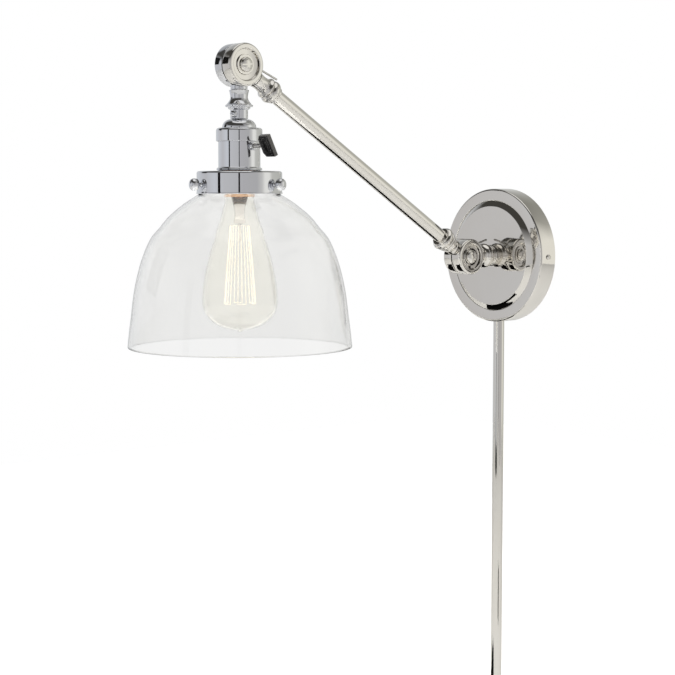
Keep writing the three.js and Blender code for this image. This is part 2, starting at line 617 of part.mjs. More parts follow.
const sleeveOuter = shellRadius - gap;
const holderHole = sleeveOuter + gap;
const thumbAngles = Array.from({ length: thumbCount }, (_, i) => thumbFirstAngle + (360 * i) / thumbCount);
piece(drop, 'socket_sleeve',
  tube(sleeveOuter, sleeveOuter - sleeveWall, holderTop, holderTop + sleeveLength, 24), blackPlastic());
piece(drop, 'shade_ring_nut', tube(holderHole + ringNutWidth, holderHole, holderTop + holderSheet + gap,
  holderTop + holderSheet + gap + ringNutHeight, 24), nickel());
const thumbHole = (angle) => rod(thumbShankRadius + gap, holderInner - 3, holderRadius + 3, 12)
  .rotateZ(-Math.PI / 2).rotateY(THREE.MathUtils.degToRad(-angle)).translate(0, thumbLevel, 0);
piece(drop, 'shade_holder', cut(turnedRing([
  [holderHole, holderTop],
  ...arc(holderRadius - holderEdgeRound, holderTop + holderEdgeRound, holderEdgeRound, -90, 0, 2),
  [holderRadius, holderBottom], [holderInner, holderBottom], [holderInner, holderTop + holderSheet],
  [holderHole, holderTop + holderSheet],
], 40), ...thumbAngles.map(thumbHole)), nickel());

const tipRadius = glassNeckRadius + gap + 0.2;
const headFoot = holderRadius + thumbStandOff;
const headMiddle = headFoot + thumbHeadLength / 2;
const thumbBall = Array.from({ length: 5 }, (_, i) => {
  const angle = (Math.PI * (i + 1)) / 6;
  return [thumbHeadRadius * Math.sin(angle) ** 0.7, headMiddle - (thumbHeadLength / 2) * Math.cos(angle)];
});
const thumbScrew = turned([[0, tipRadius], [thumbShankRadius, tipRadius], [thumbShankRadius, headFoot],
  ...thumbBall, [0, headFoot + thumbHeadLength]], 12);
thumbAngles.forEach((angle, i) => {
  piece(drop, `thumb_screw_${i + 1}`, thumbScrew, nickel(),
    { place: [0, thumbLevel, 0], turn: [0, THREE.MathUtils.degToRad(-angle), -Math.PI / 2] });
});

// ---------- Glass shade ----------

const lipTop = holderTop + holderSheet + gap + ringNutHeight + gap;
const bowlHeights = [0.06, 0.14, 0.297, 0.483, 0.72, 1];     // share of the drop below the holder
const bowlWidths = [0.494, 0.625, 0.8, 0.895, 0.958, 1];     // share of the rim radius
const bowl = new THREE.SplineCurve([
  new THREE.Vector2(glassNeckRadius, holderBottom - 4),
  new THREE.Vector2(holderRadius + 1.6, holderBottom + 3),
  ...bowlHeights.map((h, i) =>
    new THREE.Vector2(bowlWidths[i] * glassRimRadius, holderBottom + h * glassDrop)),
]);
const bowlSteps = 10;
const bowlShares = Array.from({ length: bowlSteps + 1 }, (_, i) => (i / bowlSteps) ** 1.6);
const bowlOutside = bowlShares.map((share) => bowl.getPointAt(share));
const bowlInside = bowlOutside.map((point, i) => {
  const along = bowl.getTangentAt(bowlShares[i]);
  return new THREE.Vector2(point.x - along.y * glassSheet, point.y + along.x * glassSheet);
});
bowlInside[bowlSteps].y = rimLevel;
piece(drop, 'glass_shade', turnedRing([
  [glassNeckRadius + glassLip, lipTop], [glassNeckRadius + glassLip, lipTop + glassLipHeight - 0.6],
  [glassNeckRadius, lipTop + glassLipHeight], ...bowlOutside.map((p) => [p.x, p.y]),
  ...bowlInside.reverse().map((p) => [p.x, p.y]), [glassNeckRadius - glassSheet, lipTop],
], 40), clearGlass());

// ---------- Bulb ----------

const baseWall = 0.6;
piece(drop, 'bulb_base', turnedRing([
  [bulbBaseRadius - 3, bulbTop], [bulbBaseRadius, bulbTop + 3], [bulbBaseRadius, bulbTop + bulbBaseLength],
  [bulbBaseRadius - baseWall, bulbTop + bulbBaseLength], [bulbBaseRadius - baseWall, bulbTop + 3.4],
  [bulbBaseRadius - 3 - baseWall, bulbTop + 0.6], [bulbBaseRadius - 3 - baseWall, bulbTop],
], 20), brass());
piece(drop, 'bulb_insulator', turned([[0, bulbTop - 2], [5, bulbTop - 2],
  [bulbBaseRadius - 3 - baseWall - gap, bulbTop], [bulbBaseRadius - 3 - baseWall - gap, bulbTop + 2],
  [0, bulbTop + 2]], 12), blackPlastic());
piece(drop, 'bulb_contact', turned([[0, bulbTop - 3.4], [3, bulbTop - 3.2], [4, bulbTop - 2 - gap],
  [0, bulbTop - 2 - gap]], 12), steel());

const neckRadius = bulbBaseRadius - baseWall - gap;
const widestLevel = bulbGlassTop + 4 + bulbWidest * bulbGlassLength;
const endLength = bulbTip - widestLevel;
const flank = new THREE.CubicBezierCurve(
  new THREE.Vector2(neckRadius, bulbGlassTop + 4),
  new THREE.Vector2(neckRadius + 2, bulbGlassTop + 4 + 0.16 * bulbGlassLength),
  new THREE.Vector2(bulbGlassRadius, widestLevel - 0.3 * bulbGlassLength),
  new THREE.Vector2(bulbGlassRadius, widestLevel),
);
const bulbOutside = [
  [neckRadius, bulbGlassTop], ...flank.getPoints(5).map((p) => [p.x, p.y]),
  ...[0.35, 0.7, 1.05, 1.35].map((angle) =>
    [bulbGlassRadius * Math.cos(angle), widestLevel + endLength * Math.sin(angle) ** 1.15]),
];
const bulbInside = bulbOutside.map(([r, h], i) =>
  [r - bulbSheet, h > widestLevel ? h - bulbSheet * ((h - widestLevel) / endLength) : h]);
piece(drop, 'bulb_glass', turned([...bulbOutside, [0, bulbTip], [0, bulbTip - bulbSheet],
  ...bulbInside.reverse()].concat([bulbOutside[0]]), 24), amberGlass());

const mountTop = bulbGlassTop + gap;
const mountEnd = bulbGlassTop + 4 + mountLength;
piece(drop, 'bulb_glass_mount', turned([[0, mountTop], [neckRadius - bulbSheet - gap - 1, mountTop],
  [neckRadius - bulbSheet - gap - 2.5, mountTop + 3], [mountRadius, mountTop + 8],
  [mountRadius - 1, mountEnd - 6],
  [mountRadius, mountEnd - 3], [mountRadius - 1, mountEnd], [1.4, mountEnd], [1.2, mountEnd + 14],
  [0, mountEnd + 14]], 12), amberGlass());

const cageTop = mountEnd + gap + 1;
const cagePoints = [];
for (let i = 0; i < 2 * filamentPins; i += 1) {
  const angle = (2 * Math.PI * (i + 0.5)) / (2 * filamentPins);
  const radius = i % 2 === 0 ? filamentTopRadius : filamentBottomRadius;
  const level = i % 2 === 0 ? cageTop : cageTop + filamentLength;
  cagePoints.push([radius * Math.cos(angle), level, radius * Math.sin(angle)]);
}
piece(drop, 'bulb_filament', wire(cagePoints, filamentRadius, 6 * filamentPins, 4), filamentWire());

export default sconce;
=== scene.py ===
import math

import bpy
from mathutils import Matrix, Vector


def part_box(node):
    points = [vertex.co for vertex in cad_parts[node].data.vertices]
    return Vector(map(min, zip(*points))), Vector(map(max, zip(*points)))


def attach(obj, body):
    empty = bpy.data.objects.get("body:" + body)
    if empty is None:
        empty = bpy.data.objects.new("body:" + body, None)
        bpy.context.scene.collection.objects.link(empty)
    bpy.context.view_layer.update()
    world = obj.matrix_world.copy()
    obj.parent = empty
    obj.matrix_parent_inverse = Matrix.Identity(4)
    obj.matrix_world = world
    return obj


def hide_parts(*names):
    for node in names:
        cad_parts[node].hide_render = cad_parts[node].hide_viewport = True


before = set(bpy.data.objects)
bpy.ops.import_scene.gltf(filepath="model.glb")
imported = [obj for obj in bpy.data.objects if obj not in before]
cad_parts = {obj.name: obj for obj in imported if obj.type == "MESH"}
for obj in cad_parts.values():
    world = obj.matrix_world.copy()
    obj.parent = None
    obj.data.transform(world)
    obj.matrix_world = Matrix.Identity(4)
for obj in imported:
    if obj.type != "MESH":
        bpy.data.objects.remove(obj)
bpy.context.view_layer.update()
mm = 0.001


# Camera and studio

camera = {
    "lens": 93.3,
    "turn": 49.5,          # degrees round the lamp, 0 looks straight at the wall
    "height": 4.93,        # degrees above level
    "distance": 1.5765,
    "target": (-0.0165, -0.200, -0.0699),
}

studio = {
    "floorLevel": -0.60,
    "floorSize": 5.0,
    "floorColor": (0.84, 0.84, 0.83, 1),
    "floorGlow": 0.6,
    "backdrop": (1.0, 1.0, 1.0, 1),
    # degrees round the lamp, and the colour of the air there at eye level
    "air": [(-90, (0.68, 0.70, 0.73)), (-50, (0.61, 0.605, 0.615)), (-18, (0.70, 0.72, 0.75)),
        (7, (0.62, 0.62, 0.63)),
            (47, (0.58, 0.58, 0.585)), (61, (0.53, 0.52, 0.525)), (101, (0.51, 0.505, 0.50)), (116,
                (0.66, 0.65, 0.62)),
            (126, (0.93, 0.92, 0.86)), (140, (0.93, 0.92, 0.86)), (152, (0.62, 0.615, 0.565)), (190,
                (0.56, 0.56, 0.51)),
            (229, (0.64, 0.65, 0.65))],
    # the air grows dark towards the ceiling, with one paler patch straight above
    "overheadAir": (0.06, 0.058, 0.052, 1),
    "behindAbove": 0.62,
    "skylight": (0.95, 0.94, 0.92, 1),
    # name: turn and height in degrees, distance, width, length, watts, colour
    "softLights": {
        "overhead": (20, 84, 2.6, 1.7, 1.7, 52, (1.0, 0.99, 0.97)),
        "frontHigh": (-8, 42, 3.0, 0.8, 0.8, 12, (1.0, 0.99, 0.98)),
        "rightHigh": (105, 30, 3.0, 0.5, 1.3, 12, (1.0, 0.98, 0.95)),
    },
    # name: turn and height in degrees, distance, width, height, grey
    "darkCards": {
        "stripLeft": (-3, 0, 3.2, 0.40, 2.4, 0.002),
        "stripCamera": (50.5, 0, 3.2, 0.24, 2.4, 0.01),
        "highLeft": (-57, 18, 3.0, 1.2, 1.05, 0.01),
        "lowLeft": (-128, -17, 2.2, 0.60, 0.45, 0.002),
        "lowRight": (88, -30, 1.1, 0.30, 0.22, 0.004),
        "highFront": (-14, 31, 2.6, 1.7, 0.16, 0.003),
        "lowFront": (8, -13.5, 2.2, 1.5, 0.10, 0.003),
        "highRight": (118, 36, 2.6, 1.2, 0.16, 0.003),
    },
    # name: x, y, width, length and turn in degrees, lying on the floor
    "floorCards": {"underArm": (-0.40, -0.12, 0.56, 0.56, 0), "frontLeft": (-0.40, -0.50, 0.70, 0.34, -36)},
}


def around(turn, height, distance, centre):
    a, h = math.radians(turn), math.radians(height)
    return Vector(centre) + distance * Vector((math.sin(a) * math.cos(h), -math.cos(a) * math.cos(h),
        math.sin(h)))


def faceCentre(obj, place, centre):
    obj.location = place
    obj.rotation_euler = (place - Vector(centre)).to_track_quat("Z", "Y").to_euler()


def deselectAll():
    if bpy.context.object and bpy.context.object.mode == "EDIT":
        bpy.ops.object.mode_set(mode="OBJECT")
    bpy.ops.object.select_all(action="DESELECT")


def pick(*objects):
    deselectAll()
    for obj in objects:
        obj.select_set(True)
    bpy.context.view_layer.objects.active = objects[0]


def makeCamera():
    place = around(camera["turn"], camera["height"], camera["distance"], camera["target"])
    bpy.ops.object.camera_add(location=place)
    eye = bpy.context.object
    eye.name = "productCamera"
    faceCentre(eye, place, camera["target"])
    eye.data.lens = camera["lens"]
    eye.data.sensor_width = 36
    eye.data.clip_start, eye.data.clip_end = 0.01, 60
    bpy.context.scene.camera = eye


def plainMaterial(name, color, seenGlow=0.0, roughness=0.9):
    material = bpy.data.materials.new(name)
    material.use_nodes = True
    shader = material.node_tree.nodes["Principled BSDF"]
    shader.inputs["Base Color"].default_value = color
    shader.inputs["Roughness"].default_value = roughness
    shader.inputs["Specular IOR Level"].default_value = 0.1
    shader.inputs["Emission Color"].default_value = (1, 1, 1, 1)
    shader.inputs["Emission Strength"].default_value = 0
    if seenGlow:
        tree = material.node_tree
        path = tree.nodes.new("ShaderNodeLightPath")
        seen = tree.nodes.new("ShaderNodeMath")
        seen.operation = "MAXIMUM"
        glow = tree.nodes.new("ShaderNodeMath")
        glow.operation, glow.inputs[1].default_value = "MULTIPLY", seenGlow
        tree.links.new(path.outputs["Is Camera Ray"], seen.inputs[0])
        tree.links.new(path.outputs["Is Transmission Ray"], seen.inputs[1])
        tree.links.new(seen.outputs[0], glow.inputs[0])
        tree.links.new(glow.outputs[0], shader.inputs["Emission Strength"])
    return material


def makeStudio():
    deselectAll()
    bpy.ops.mesh.primitive_plane_add(size=studio["floorSize"], location=(0, -0.2, studio["floorLevel"]))
    floor = bpy.context.object
    floor.name = "studioFloor"
    floor.data.materials.append(plainMaterial("paleFloor", studio["floorColor"], studio["floorGlow"]))
    for name, (turn, height, distance, width, length, watts, color) in studio["softLights"].items():
        place = around(turn, height, distance, camera["target"])
        bpy.ops.object.light_add(type="AREA", location=place)
        light = bpy.context.object
        light.name = name + "Softbox"
        light.data.shape = "RECTANGLE"
        light.data.size, light.data.size_y = width, length
        light.data.energy, light.data.color = watts, color
        faceCentre(light, place, camera["target"])
        light.visible_camera = light.visible_transmission = light.visible_glossy = False
    for name, (turn, height, distance, width, length, grey) in studio["darkCards"].items():
        card = makeCard(name, width, length, grey)
        faceCentre(card, around(turn, height, distance, camera["target"]), camera["target"])
    for name, (x, y, width, length, turn) in studio["floorCards"].items():
        card = makeCard(name, width, length, 0.002)
        card.location = (x, y, studio["floorLevel"] + 0.004)
        card.rotation_euler = (0, 0, math.radians(turn))
    makeAir()
    bpy.context.scene.view_settings.view_transform = "Standard"


# Dark cards show only in reflections, as black flags do in a product studio.
def makeCard(name, width, length, grey):
    deselectAll()
    bpy.ops.mesh.primitive_plane_add(size=1)
    card = bpy.context.object
    card.name = name + "Card"
    card.scale = (width, length, 1)
    card.data.materials.append(plainMaterial(name + "Card", (grey, grey, grey, 1)))
    card.visible_camera = card.visible_diffuse = card.visible_transmission = card.visible_shadow = False
    return card


def makeAir():
    world = bpy.data.worlds.new("studioAir")
    bpy.context.scene.world = world
    world.use_nodes = True
    nodes, links = world.node_tree.nodes, world.node_tree.links
    back = nodes["Background"]
    direction = nodes.new("ShaderNodeTexCoord")
    radial = nodes.new("ShaderNodeTexGradient")
    radial.gradient_type = "RADIAL"
    ramp = nodes.new("ShaderNodeValToRGB")
    stops = sorted(((turn + 90) / 360 % 1, color) for turn, color in studio["air"])
    stops.append((1.0, stops[0][1]))
    ramp.color_ramp.elements[0].position, ramp.color_ramp.elements[0].color = stops[0][0], (*stops[0][1], 1)
    ramp.color_ramp.elements[1].position, ramp.color_ramp.elements[1].color = 1.0, (*stops[-1][1], 1)
    for place, color in stops[1:-1]:
        ramp.color_ramp.elements.new(place).color = (*color, 1)
    split = nodes.new("ShaderNodeSeparateXYZ")
    climb = nodes.new("ShaderNodeMapRange")
    climb.inputs["From Min"].default_value, climb.inputs["From Max"].default_value = 0.30, 0.80
    # in front of the wall the air darkens lower down, and further
    ahead = nodes.new("ShaderNodeMapRange")
    ahead.inputs["From Min"].default_value, ahead.inputs["From Max"].default_value = 0.15, -0.15
    climbAhead = nodes.new("ShaderNodeMapRange")
    climbAhead.inputs["From Min"].default_value, climbAhead.inputs["From Max"].default_value = 0.20, 0.52
    dark = nodes.new("ShaderNodeMath")
    dark.operation = "MULTIPLY"
    behind = nodes.new("ShaderNodeMath")
    behind.operation, behind.inputs[1].default_value = "MULTIPLY", studio["behindAbove"]
    darkest = nodes.new("ShaderNodeMath")
    darkest.operation = "MAXIMUM"
    shaded = nodes.new("ShaderNodeMix")
    shaded.data_type = "RGBA"
    shaded.inputs["B"].default_value = studio["overheadAir"]
    zenith = nodes.new("ShaderNodeMapRange")
    zenith.inputs["From Min"].default_value, zenith.inputs["From Max"].default_value = 0.86, 0.91
    lit = nodes.new("ShaderNodeMix")
    lit.data_type = "RGBA"
    lit.inputs["B"].default_value = studio["skylight"]
    path = nodes.new("ShaderNodeLightPath")
    seen = nodes.new("ShaderNodeMath")
    seen.operation = "MAXIMUM"
    mix = nodes.new("ShaderNodeMix")
    mix.data_type = "RGBA"
    mix.inputs["B"].default_value = studio["backdrop"]
    links.new(direction.outputs["Generated"], radial.inputs[0])
    links.new(radial.outputs["Fac"], ramp.inputs[0])
    links.new(direction.outputs["Generated"], split.inputs[0])
    links.new(split.outputs["Z"], climb.inputs["Value"])
    links.new(split.outputs["Y"], ahead.inputs["Value"])
    links.new(split.outputs["Z"], climbAhead.inputs["Value"])
    links.new(ahead.outputs[0], dark.inputs[0])
    links.new(climbAhead.outputs[0], dark.inputs[1])
    links.new(climb.outputs[0], behind.inputs[0])
    links.new(dark.outputs[0], darkest.inputs[0])
    links.new(behind.outputs[0], darkest.inputs[1])
    links.new(darkest.outputs[0], shaded.inputs["Factor"])
    links.new(ramp.outputs["Color"], shaded.inputs["A"])
    links.new(path.outputs["Is Camera Ray"], seen.inputs[0])
    links.new(path.outputs["Is Transmission Ray"], seen.inputs[1])
    links.new(seen.outputs[0], mix.inputs["Factor"])
    links.new(split.outputs["Z"], zenith.inputs["Value"])
    links.new(zenith.outputs[0], lit.inputs["Factor"])
    links.new(shaded.outputs["Result"], lit.inputs["A"])
    links.new(lit.outputs["Result"], mix.inputs["A"])
    links.new(mix.outputs["Result"], back.inputs["Color"])
    back.inputs["Strength"].default_value = 1.0


makeCamera()
makeStudio()
print("studio ready")


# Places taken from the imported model

def middle(node):
    low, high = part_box(node)
    return (low + high) / 2


wallPivot = middle("wall_pivot_washer")
headPivot = middle("head_pivot_washer")
wallPivot.x = headPivot.x = 0
span = headPivot - wallPivot
slant = math.atan2(span.z, -span.y)
outward = Matrix.Rotation(math.radians(90), 4, "X")
up = Matrix.Translation(wallPivot) @ Matrix.Rotation(math.radians(90) - slant, 4, "X")
down = Matrix.Translation(headPivot) @ Matrix.Rotation(-math.radians(90) - slant, 4, "X")
drop = Matrix.Translation(headPivot) @ Matrix.Rotation(math.radians(180), 4, "X")
toWall = Matrix.Translation(wallPivot) @ Matrix.Rotation(math.radians(-90), 4, "X")
coverOut = middle("cord_cover_tube").y
below = Matrix.Translation((0, coverOut, 0)) @ Matrix.Rotation(math.radians(180), 4, "X")


def belowPivot(node):
    return (headPivot.z - middle(node).z) / mm


def levelOf(node, end):
    low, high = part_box(node)
    return (headPivot.z - (high.z if end == "top" else low.z)) / mm


def sideways(frameMatrix, side):
    return frameMatrix @ Matrix.Rotation(math.radians(90 * side), 4, "Y")


def radial(level, planAngle):
    return (Matrix.Translation(headPivot - Vector((0, 0, level * mm)))
            @ Matrix.Rotation(math.radians(planAngle), 4, "Z") @ Matrix.Rotation(math.radians(90), 4, "Y"))


# Modelling helpers. Outlines are (radius, height) in millimetres.

def bend(radius, height, size, start, end, steps=6):
    angles = [math.radians(start + (end - start) * i / steps) for i in range(steps + 1)]
    return [(radius + size * math.cos(a), height + size * math.sin(a)) for a in angles]


def smoothLine(points, steps=6):
    padded = [points[0]] + list(points) + [points[-1]]
    line = []
    for i in range(1, len(padded) - 2):
        a, b, c, d = (Vector(p) for p in padded[i - 1:i + 3])
        for k in range(steps):
            t = k / steps
            line.append(tuple(0.5 * (2 * b + (c - a) * t + (2 * a - 5 * b + 4 * c - d) * t * t
                                     + (3 * b - a - 3 * c + d) * t ** 3)))
    return line + [tuple(points[-1])]


def applyPlace(piece, frameMatrix):
    pick(piece)
    piece.matrix_world = frameMatrix @ piece.matrix_world
    bpy.ops.object.transform_apply(location=True, rotation=True, scale=True)


def smooth(piece, angle=32):
    pick(piece)
    bpy.ops.object.shade_smooth_by_angle(angle=math.radians(angle))


# One point is drawn along the outline and spun about the axis.
def turnPiece(name, outline, place, steps=96, ring=True, angle=32):
    points = list(outline) + ([outline[0]] if ring else [])
    deselectAll()
    bpy.ops.mesh.primitive_plane_add(size=2 * mm)
    piece = bpy.context.object
    piece.name = piece.data.name = name
    bpy.ops.object.mode_set(mode="EDIT")
    bpy.ops.mesh.merge(type="CENTER")
    bpy.ops.transform.translate(value=(points[0][0] * mm, 0, points[0][1] * mm))
    for (r0, h0), (r1, h1) in zip(points, points[1:]):
        bpy.ops.mesh.extrude_region_move(TRANSFORM_OT_translate={"value": ((r1 - r0) * mm, 0,
            (h1 - h0) * mm)})
    bpy.ops.mesh.select_all(action="SELECT")
    bpy.ops.mesh.spin(steps=steps, angle=2 * math.pi, center=(0, 0, 0), axis=(0, 0, 1))
    bpy.ops.mesh.select_all(action="SELECT")
    bpy.ops.mesh.remove_doubles(threshold=2e-6)
    bpy.ops.mesh.normals_make_consistent(inside=False)
    bpy.ops.object.mode_set(mode="OBJECT")
    applyPlace(piece, place)
    smooth(piece, angle)
    return piece


def combine(piece, tool, operation):
    pick(piece)
    change = piece.modifiers.new("combine", "BOOLEAN")
    change.operation, change.solver, change.object = operation, "EXACT", tool
    bpy.ops.object.modifier_apply(modifier=change.name)
    bpy.data.objects.remove(tool)
    return piece


def carve(piece, *tools):
    for tool in tools:
        combine(piece, tool, "DIFFERENCE")
    return piece


def soften(piece, width, segments=3, angle=35):
    pick(piece)
    change = piece.modifiers.new("soften", "BEVEL")
    change.width, change.segments, change.limit_method = width * mm, segments, "ANGLE"
    change.angle_limit = math.radians(angle)
    bpy.ops.object.modifier_apply(modifier=change.name)
    smooth(piece)
    return piece


def block(name, size, centre, place):
    deselectAll()
    bpy.ops.mesh.primitive_cube_add(size=1, location=[c * mm for c in centre])
    piece = bpy.context.object
    piece.name = piece.data.name = name
    piece.scale = [s * mm for s in size]
    bpy.context.view_layer.update()
    applyPlace(piece, place)
    return piece


def rodTool(radius, start, end, place, steps=32):
    return turnPiece("tool", [(0, start), (radius, start), (radius, end), (0, end)], place, steps,
        ring=False)


def hexNut(name, radius, bore, start, end, place, turn=0):
    deselectAll()
    bpy.ops.mesh.primitive_cylinder_add(vertices=6, radius=radius * mm, depth=(end - start) * mm,
        location=(0, 0, (start + end) / 2 * mm), rotation=(0, 0, math.radians(turn)))
    nut = bpy.context.object
    nut.name = nut.data.name = name
    applyPlace(nut, Matrix.Identity(4))
    rounding = turnPiece("tool", [(0, start - 1), (radius * 0.93, start - 1), (radius * 0.93, start),
        (radius, start + 0.6), (radius, end - 0.6), (radius * 0.93, end), (radius * 0.93, end + 1),
        (0, end + 1)], Matrix.Identity(4), 48, ring=False)
    combine(nut, rounding, "INTERSECT")
    carve(nut, turnPiece("tool", [(0, start - 1), (bore + 0.5, start - 1), (bore + 0.5, start),
        (bore, start + 0.5), (bore, end - 0.5), (bore + 0.5, end), (bore + 0.5, end + 1), (0, end + 1)],
        Matrix.Identity(4), 32, ring=False))
    applyPlace(nut, place)
    smooth(nut, 25)
    return nut


def copyPiece(piece, name, move):
    pick(piece)
    bpy.ops.object.duplicate()
    twin = bpy.context.object
    twin.name = twin.data.name = name
    applyPlace(twin, move)
    return twin


def finishPiece(piece, body, slotName, material, *nodes):
    piece.data.materials.clear()
    piece.data.materials.append(material)
    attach(piece, body)
    if nodes:
        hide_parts(*nodes)
    return piece


# Shared surface effects

def newGroup(name, inputs, outputs):
    group = bpy.data.node_groups.new(name, "ShaderNodeTree")
    for label, kind, value in inputs:
        socket = group.interface.new_socket(name=label, in_out="INPUT", socket_type=kind)
        if value is not None:
            socket.default_value = value
    for label, kind in outputs:
        group.interface.new_socket(name=label, in_out="OUTPUT", socket_type=kind)
    return group, group.nodes.new("NodeGroupInput"), group.nodes.new("NodeGroupOutput")


def addNode(tree, kind, links=None, **values):
    node = tree.nodes.new(kind)
    for key, value in values.items():
        if hasattr(node, key):
            setattr(node, key, value)
        else:
            node.inputs[key.replace("_", " ")].default_value = value
    for key, source in (links or {}).items():
        tree.links.new(source, node.inputs[key])
    return node


# Fingerprints, wiping haze and fine buffing lines on polished metal and glass.
def makeHandling():
    group, start, end = newGroup("handling", [("Vector", "NodeSocketVector", None),
        ("Roughness", "NodeSocketFloat", 0.05), ("Haze", "NodeSocketFloat", 0.06),
        ("Prints", "NodeSocketFloat", 0.05), ("Lines", "NodeSocketFloat", 1.0)],
        [("Roughness", "NodeSocketFloat"), ("Height", "NodeSocketFloat"), ("Mask", "NodeSocketFloat")])
    haze = addNode(group, "ShaderNodeTexNoise", {"Vector": start.outputs["Vector"]}, Scale=22, Detail=6,
        Roughness=0.62)
    hazeMask = addNode(group, "ShaderNodeMapRange", {"Value": haze.outputs["Fac"]}, From_Min=0.45,
        From_Max=0.72)
    patches = addNode(group, "ShaderNodeTexNoise", {"Vector": start.outputs["Vector"]}, Scale=55, Detail=2)
    patchMask = addNode(group, "ShaderNodeMapRange", {"Value": patches.outputs["Fac"]}, From_Min=0.58,
        From_Max=0.66)
    ridges = addNode(group, "ShaderNodeTexWave", {"Vector": start.outputs["Vector"]}, wave_type="RINGS",
        Scale=420, Distortion=26, Detail=1)
    prints = addNode(group, "ShaderNodeMath", {0: patchMask.outputs[0], 1: ridges.outputs["Fac"]},
        operation="MULTIPLY")
    hazePart = addNode(group, "ShaderNodeMath", {0: hazeMask.outputs[0], 1: start.outputs["Haze"]},
        operation="MULTIPLY")
    printPart = addNode(group, "ShaderNodeMath", {0: prints.outputs[0], 1: start.outputs["Prints"],
                                                  2: hazePart.outputs[0]}, operation="MULTIPLY_ADD")
    total = addNode(group, "ShaderNodeMath", {0: printPart.outputs[0], 1: start.outputs["Roughness"]},
        operation="ADD")
    stretch = addNode(group, "ShaderNodeMapping", {"Vector": start.outputs["Vector"]})
    stretch.inputs["Scale"].default_value = (1, 1, 9)
    buffing = addNode(group, "ShaderNodeTexNoise", {"Vector": stretch.outputs[0]}, Scale=900, Detail=3)
    ripple = addNode(group, "ShaderNodeTexNoise", {"Vector": start.outputs["Vector"]}, Scale=70, Detail=1)
    both = addNode(group, "ShaderNodeMath", {0: buffing.outputs["Fac"], 1: ripple.outputs["Fac"]},
        operation="ADD")
    height = addNode(group, "ShaderNodeMath", {0: both.outputs[0], 1: start.outputs["Lines"]},
        operation="MULTIPLY")
    group.links.new(total.outputs[0], end.inputs["Roughness"])
    group.links.new(height.outputs[0], end.inputs["Height"])
    group.links.new(hazeMask.outputs[0], end.inputs["Mask"])
    return group


# Slow colour change over a surface, with fine specks, and paler sharp edges that are partly edge wear and
# partly a painted highlight.
def makeAgeing():
    group, start, end = newGroup(
        "ageing",
        [("Vector", "NodeSocketVector", None), ("Color", "NodeSocketColor", (0.8, 0.8, 0.8, 1)),
         ("Aged", "NodeSocketColor", (0.6, 0.5, 0.4, 1)), ("Amount", "NodeSocketFloat", 0.3),
         ("Scale", "NodeSocketFloat", 30.0), ("Wear", "NodeSocketFloat", 0.0)],
        [("Color", "NodeSocketColor"), ("Mask", "NodeSocketFloat")])
    clouds = addNode(group, "ShaderNodeTexNoise", {"Vector": start.outputs["Vector"],
        "Scale": start.outputs["Scale"]}, Detail=5, Roughness=0.6)
    cloudMask = addNode(group, "ShaderNodeMapRange", {"Value": clouds.outputs["Fac"]}, From_Min=0.4,
        From_Max=0.75)
    specks = addNode(group, "ShaderNodeTexVoronoi", {"Vector": start.outputs["Vector"]}, Scale=750)
    speckMask = addNode(group, "ShaderNodeMapRange", {"Value": specks.outputs["Distance"]}, From_Min=0.16,
        From_Max=0.08)
    some = addNode(group, "ShaderNodeMath", {0: speckMask.outputs[0], 1: cloudMask.outputs[0]},
        operation="MULTIPLY")
    mask = addNode(group, "ShaderNodeMath", {0: some.outputs[0], 1: cloudMask.outputs[0]},
        operation="MAXIMUM")
    # sharp edges are lifted towards the aged colour: edge wear, and also a painted highlight where edges
    # catch the light
    edges = addNode(group, "ShaderNodeMapRange", {"Value": addNode(group,
        "ShaderNodeNewGeometry").outputs["Pointiness"]}, From_Min=0.53, From_Max=0.60)
    wornAndLitEdges = addNode(group, "ShaderNodeMath", {0: edges.outputs[0], 1: start.outputs["Wear"]},
        operation="MULTIPLY")
    share = addNode(group, "ShaderNodeMath", {0: mask.outputs[0], 1: start.outputs["Amount"],
        2: wornAndLitEdges.outputs[0]}, operation="MULTIPLY_ADD", use_clamp=True)
    blend = addNode(group, "ShaderNodeMix", data_type="RGBA")
    group.links.new(share.outputs[0], blend.inputs["Factor"])
    group.links.new(start.outputs["Color"], blend.inputs["A"])
    group.links.new(start.outputs["Aged"], blend.inputs["B"])
    group.links.new(blend.outputs["Result"], end.inputs["Color"])
    group.links.new(mask.outputs[0], end.inputs["Mask"])
    return group


handling = makeHandling()
ageing = makeAgeing()


def newMaterial(name):
    material = bpy.data.materials.new(name)
    material.use_nodes = True
    tree = material.node_tree
    return material, tree, tree.nodes["Principled BSDF"], addNode(tree,
        "ShaderNodeTexCoord").outputs["Object"]


def placeGroup(tree, group, coords, **values):
    node = tree.nodes.new("ShaderNodeGroup")
    node.node_tree = group
    tree.links.new(coords, node.inputs["Vector"])
    for key, value in values.items():
        node.inputs[key].default_value = value
    return node


# The first two finishes are one polished nickel in two tints: the warm tint on the wall end and arm and the
# cool tint on the head are painted light colour.
finishes = {
    "nickelWarmLightTint": {"color": (0.78, 0.76, 0.725, 1), "aged": (0.62, 0.55, 0.44, 1), "amount": 0.10,
        "roughness": 0.035,
                   "haze": 0.035, "prints": 0.05, "bump": 0.010},
    "nickelCoolLightTint": {"color": (0.75, 0.76, 0.79, 1), "aged": (0.60, 0.57, 0.54, 1), "amount": 0.08,
        "roughness": 0.03,
                   "haze": 0.03, "prints": 0.045, "bump": 0.010},
    "zincSteel": {"color": (0.58, 0.58, 0.57, 1), "aged": (0.40, 0.37, 0.33, 1), "amount": 0.35,
        "roughness": 0.30,
                  "haze": 0.12, "prints": 0.08, "bump": 0.05},
    "pinSteel": {"color": (0.62, 0.61, 0.59, 1), "aged": (0.36, 0.33, 0.29, 1), "amount": 0.25,
        "roughness": 0.20,
                 "haze": 0.10, "prints": 0.05, "bump": 0.03},
    "copperBrass": {"color": (0.86, 0.52, 0.30, 1), "aged": (0.48, 0.24, 0.11, 1), "amount": 0.45,
        "roughness": 0.20,
                    "haze": 0.10, "prints": 0.05, "bump": 0.04},
}


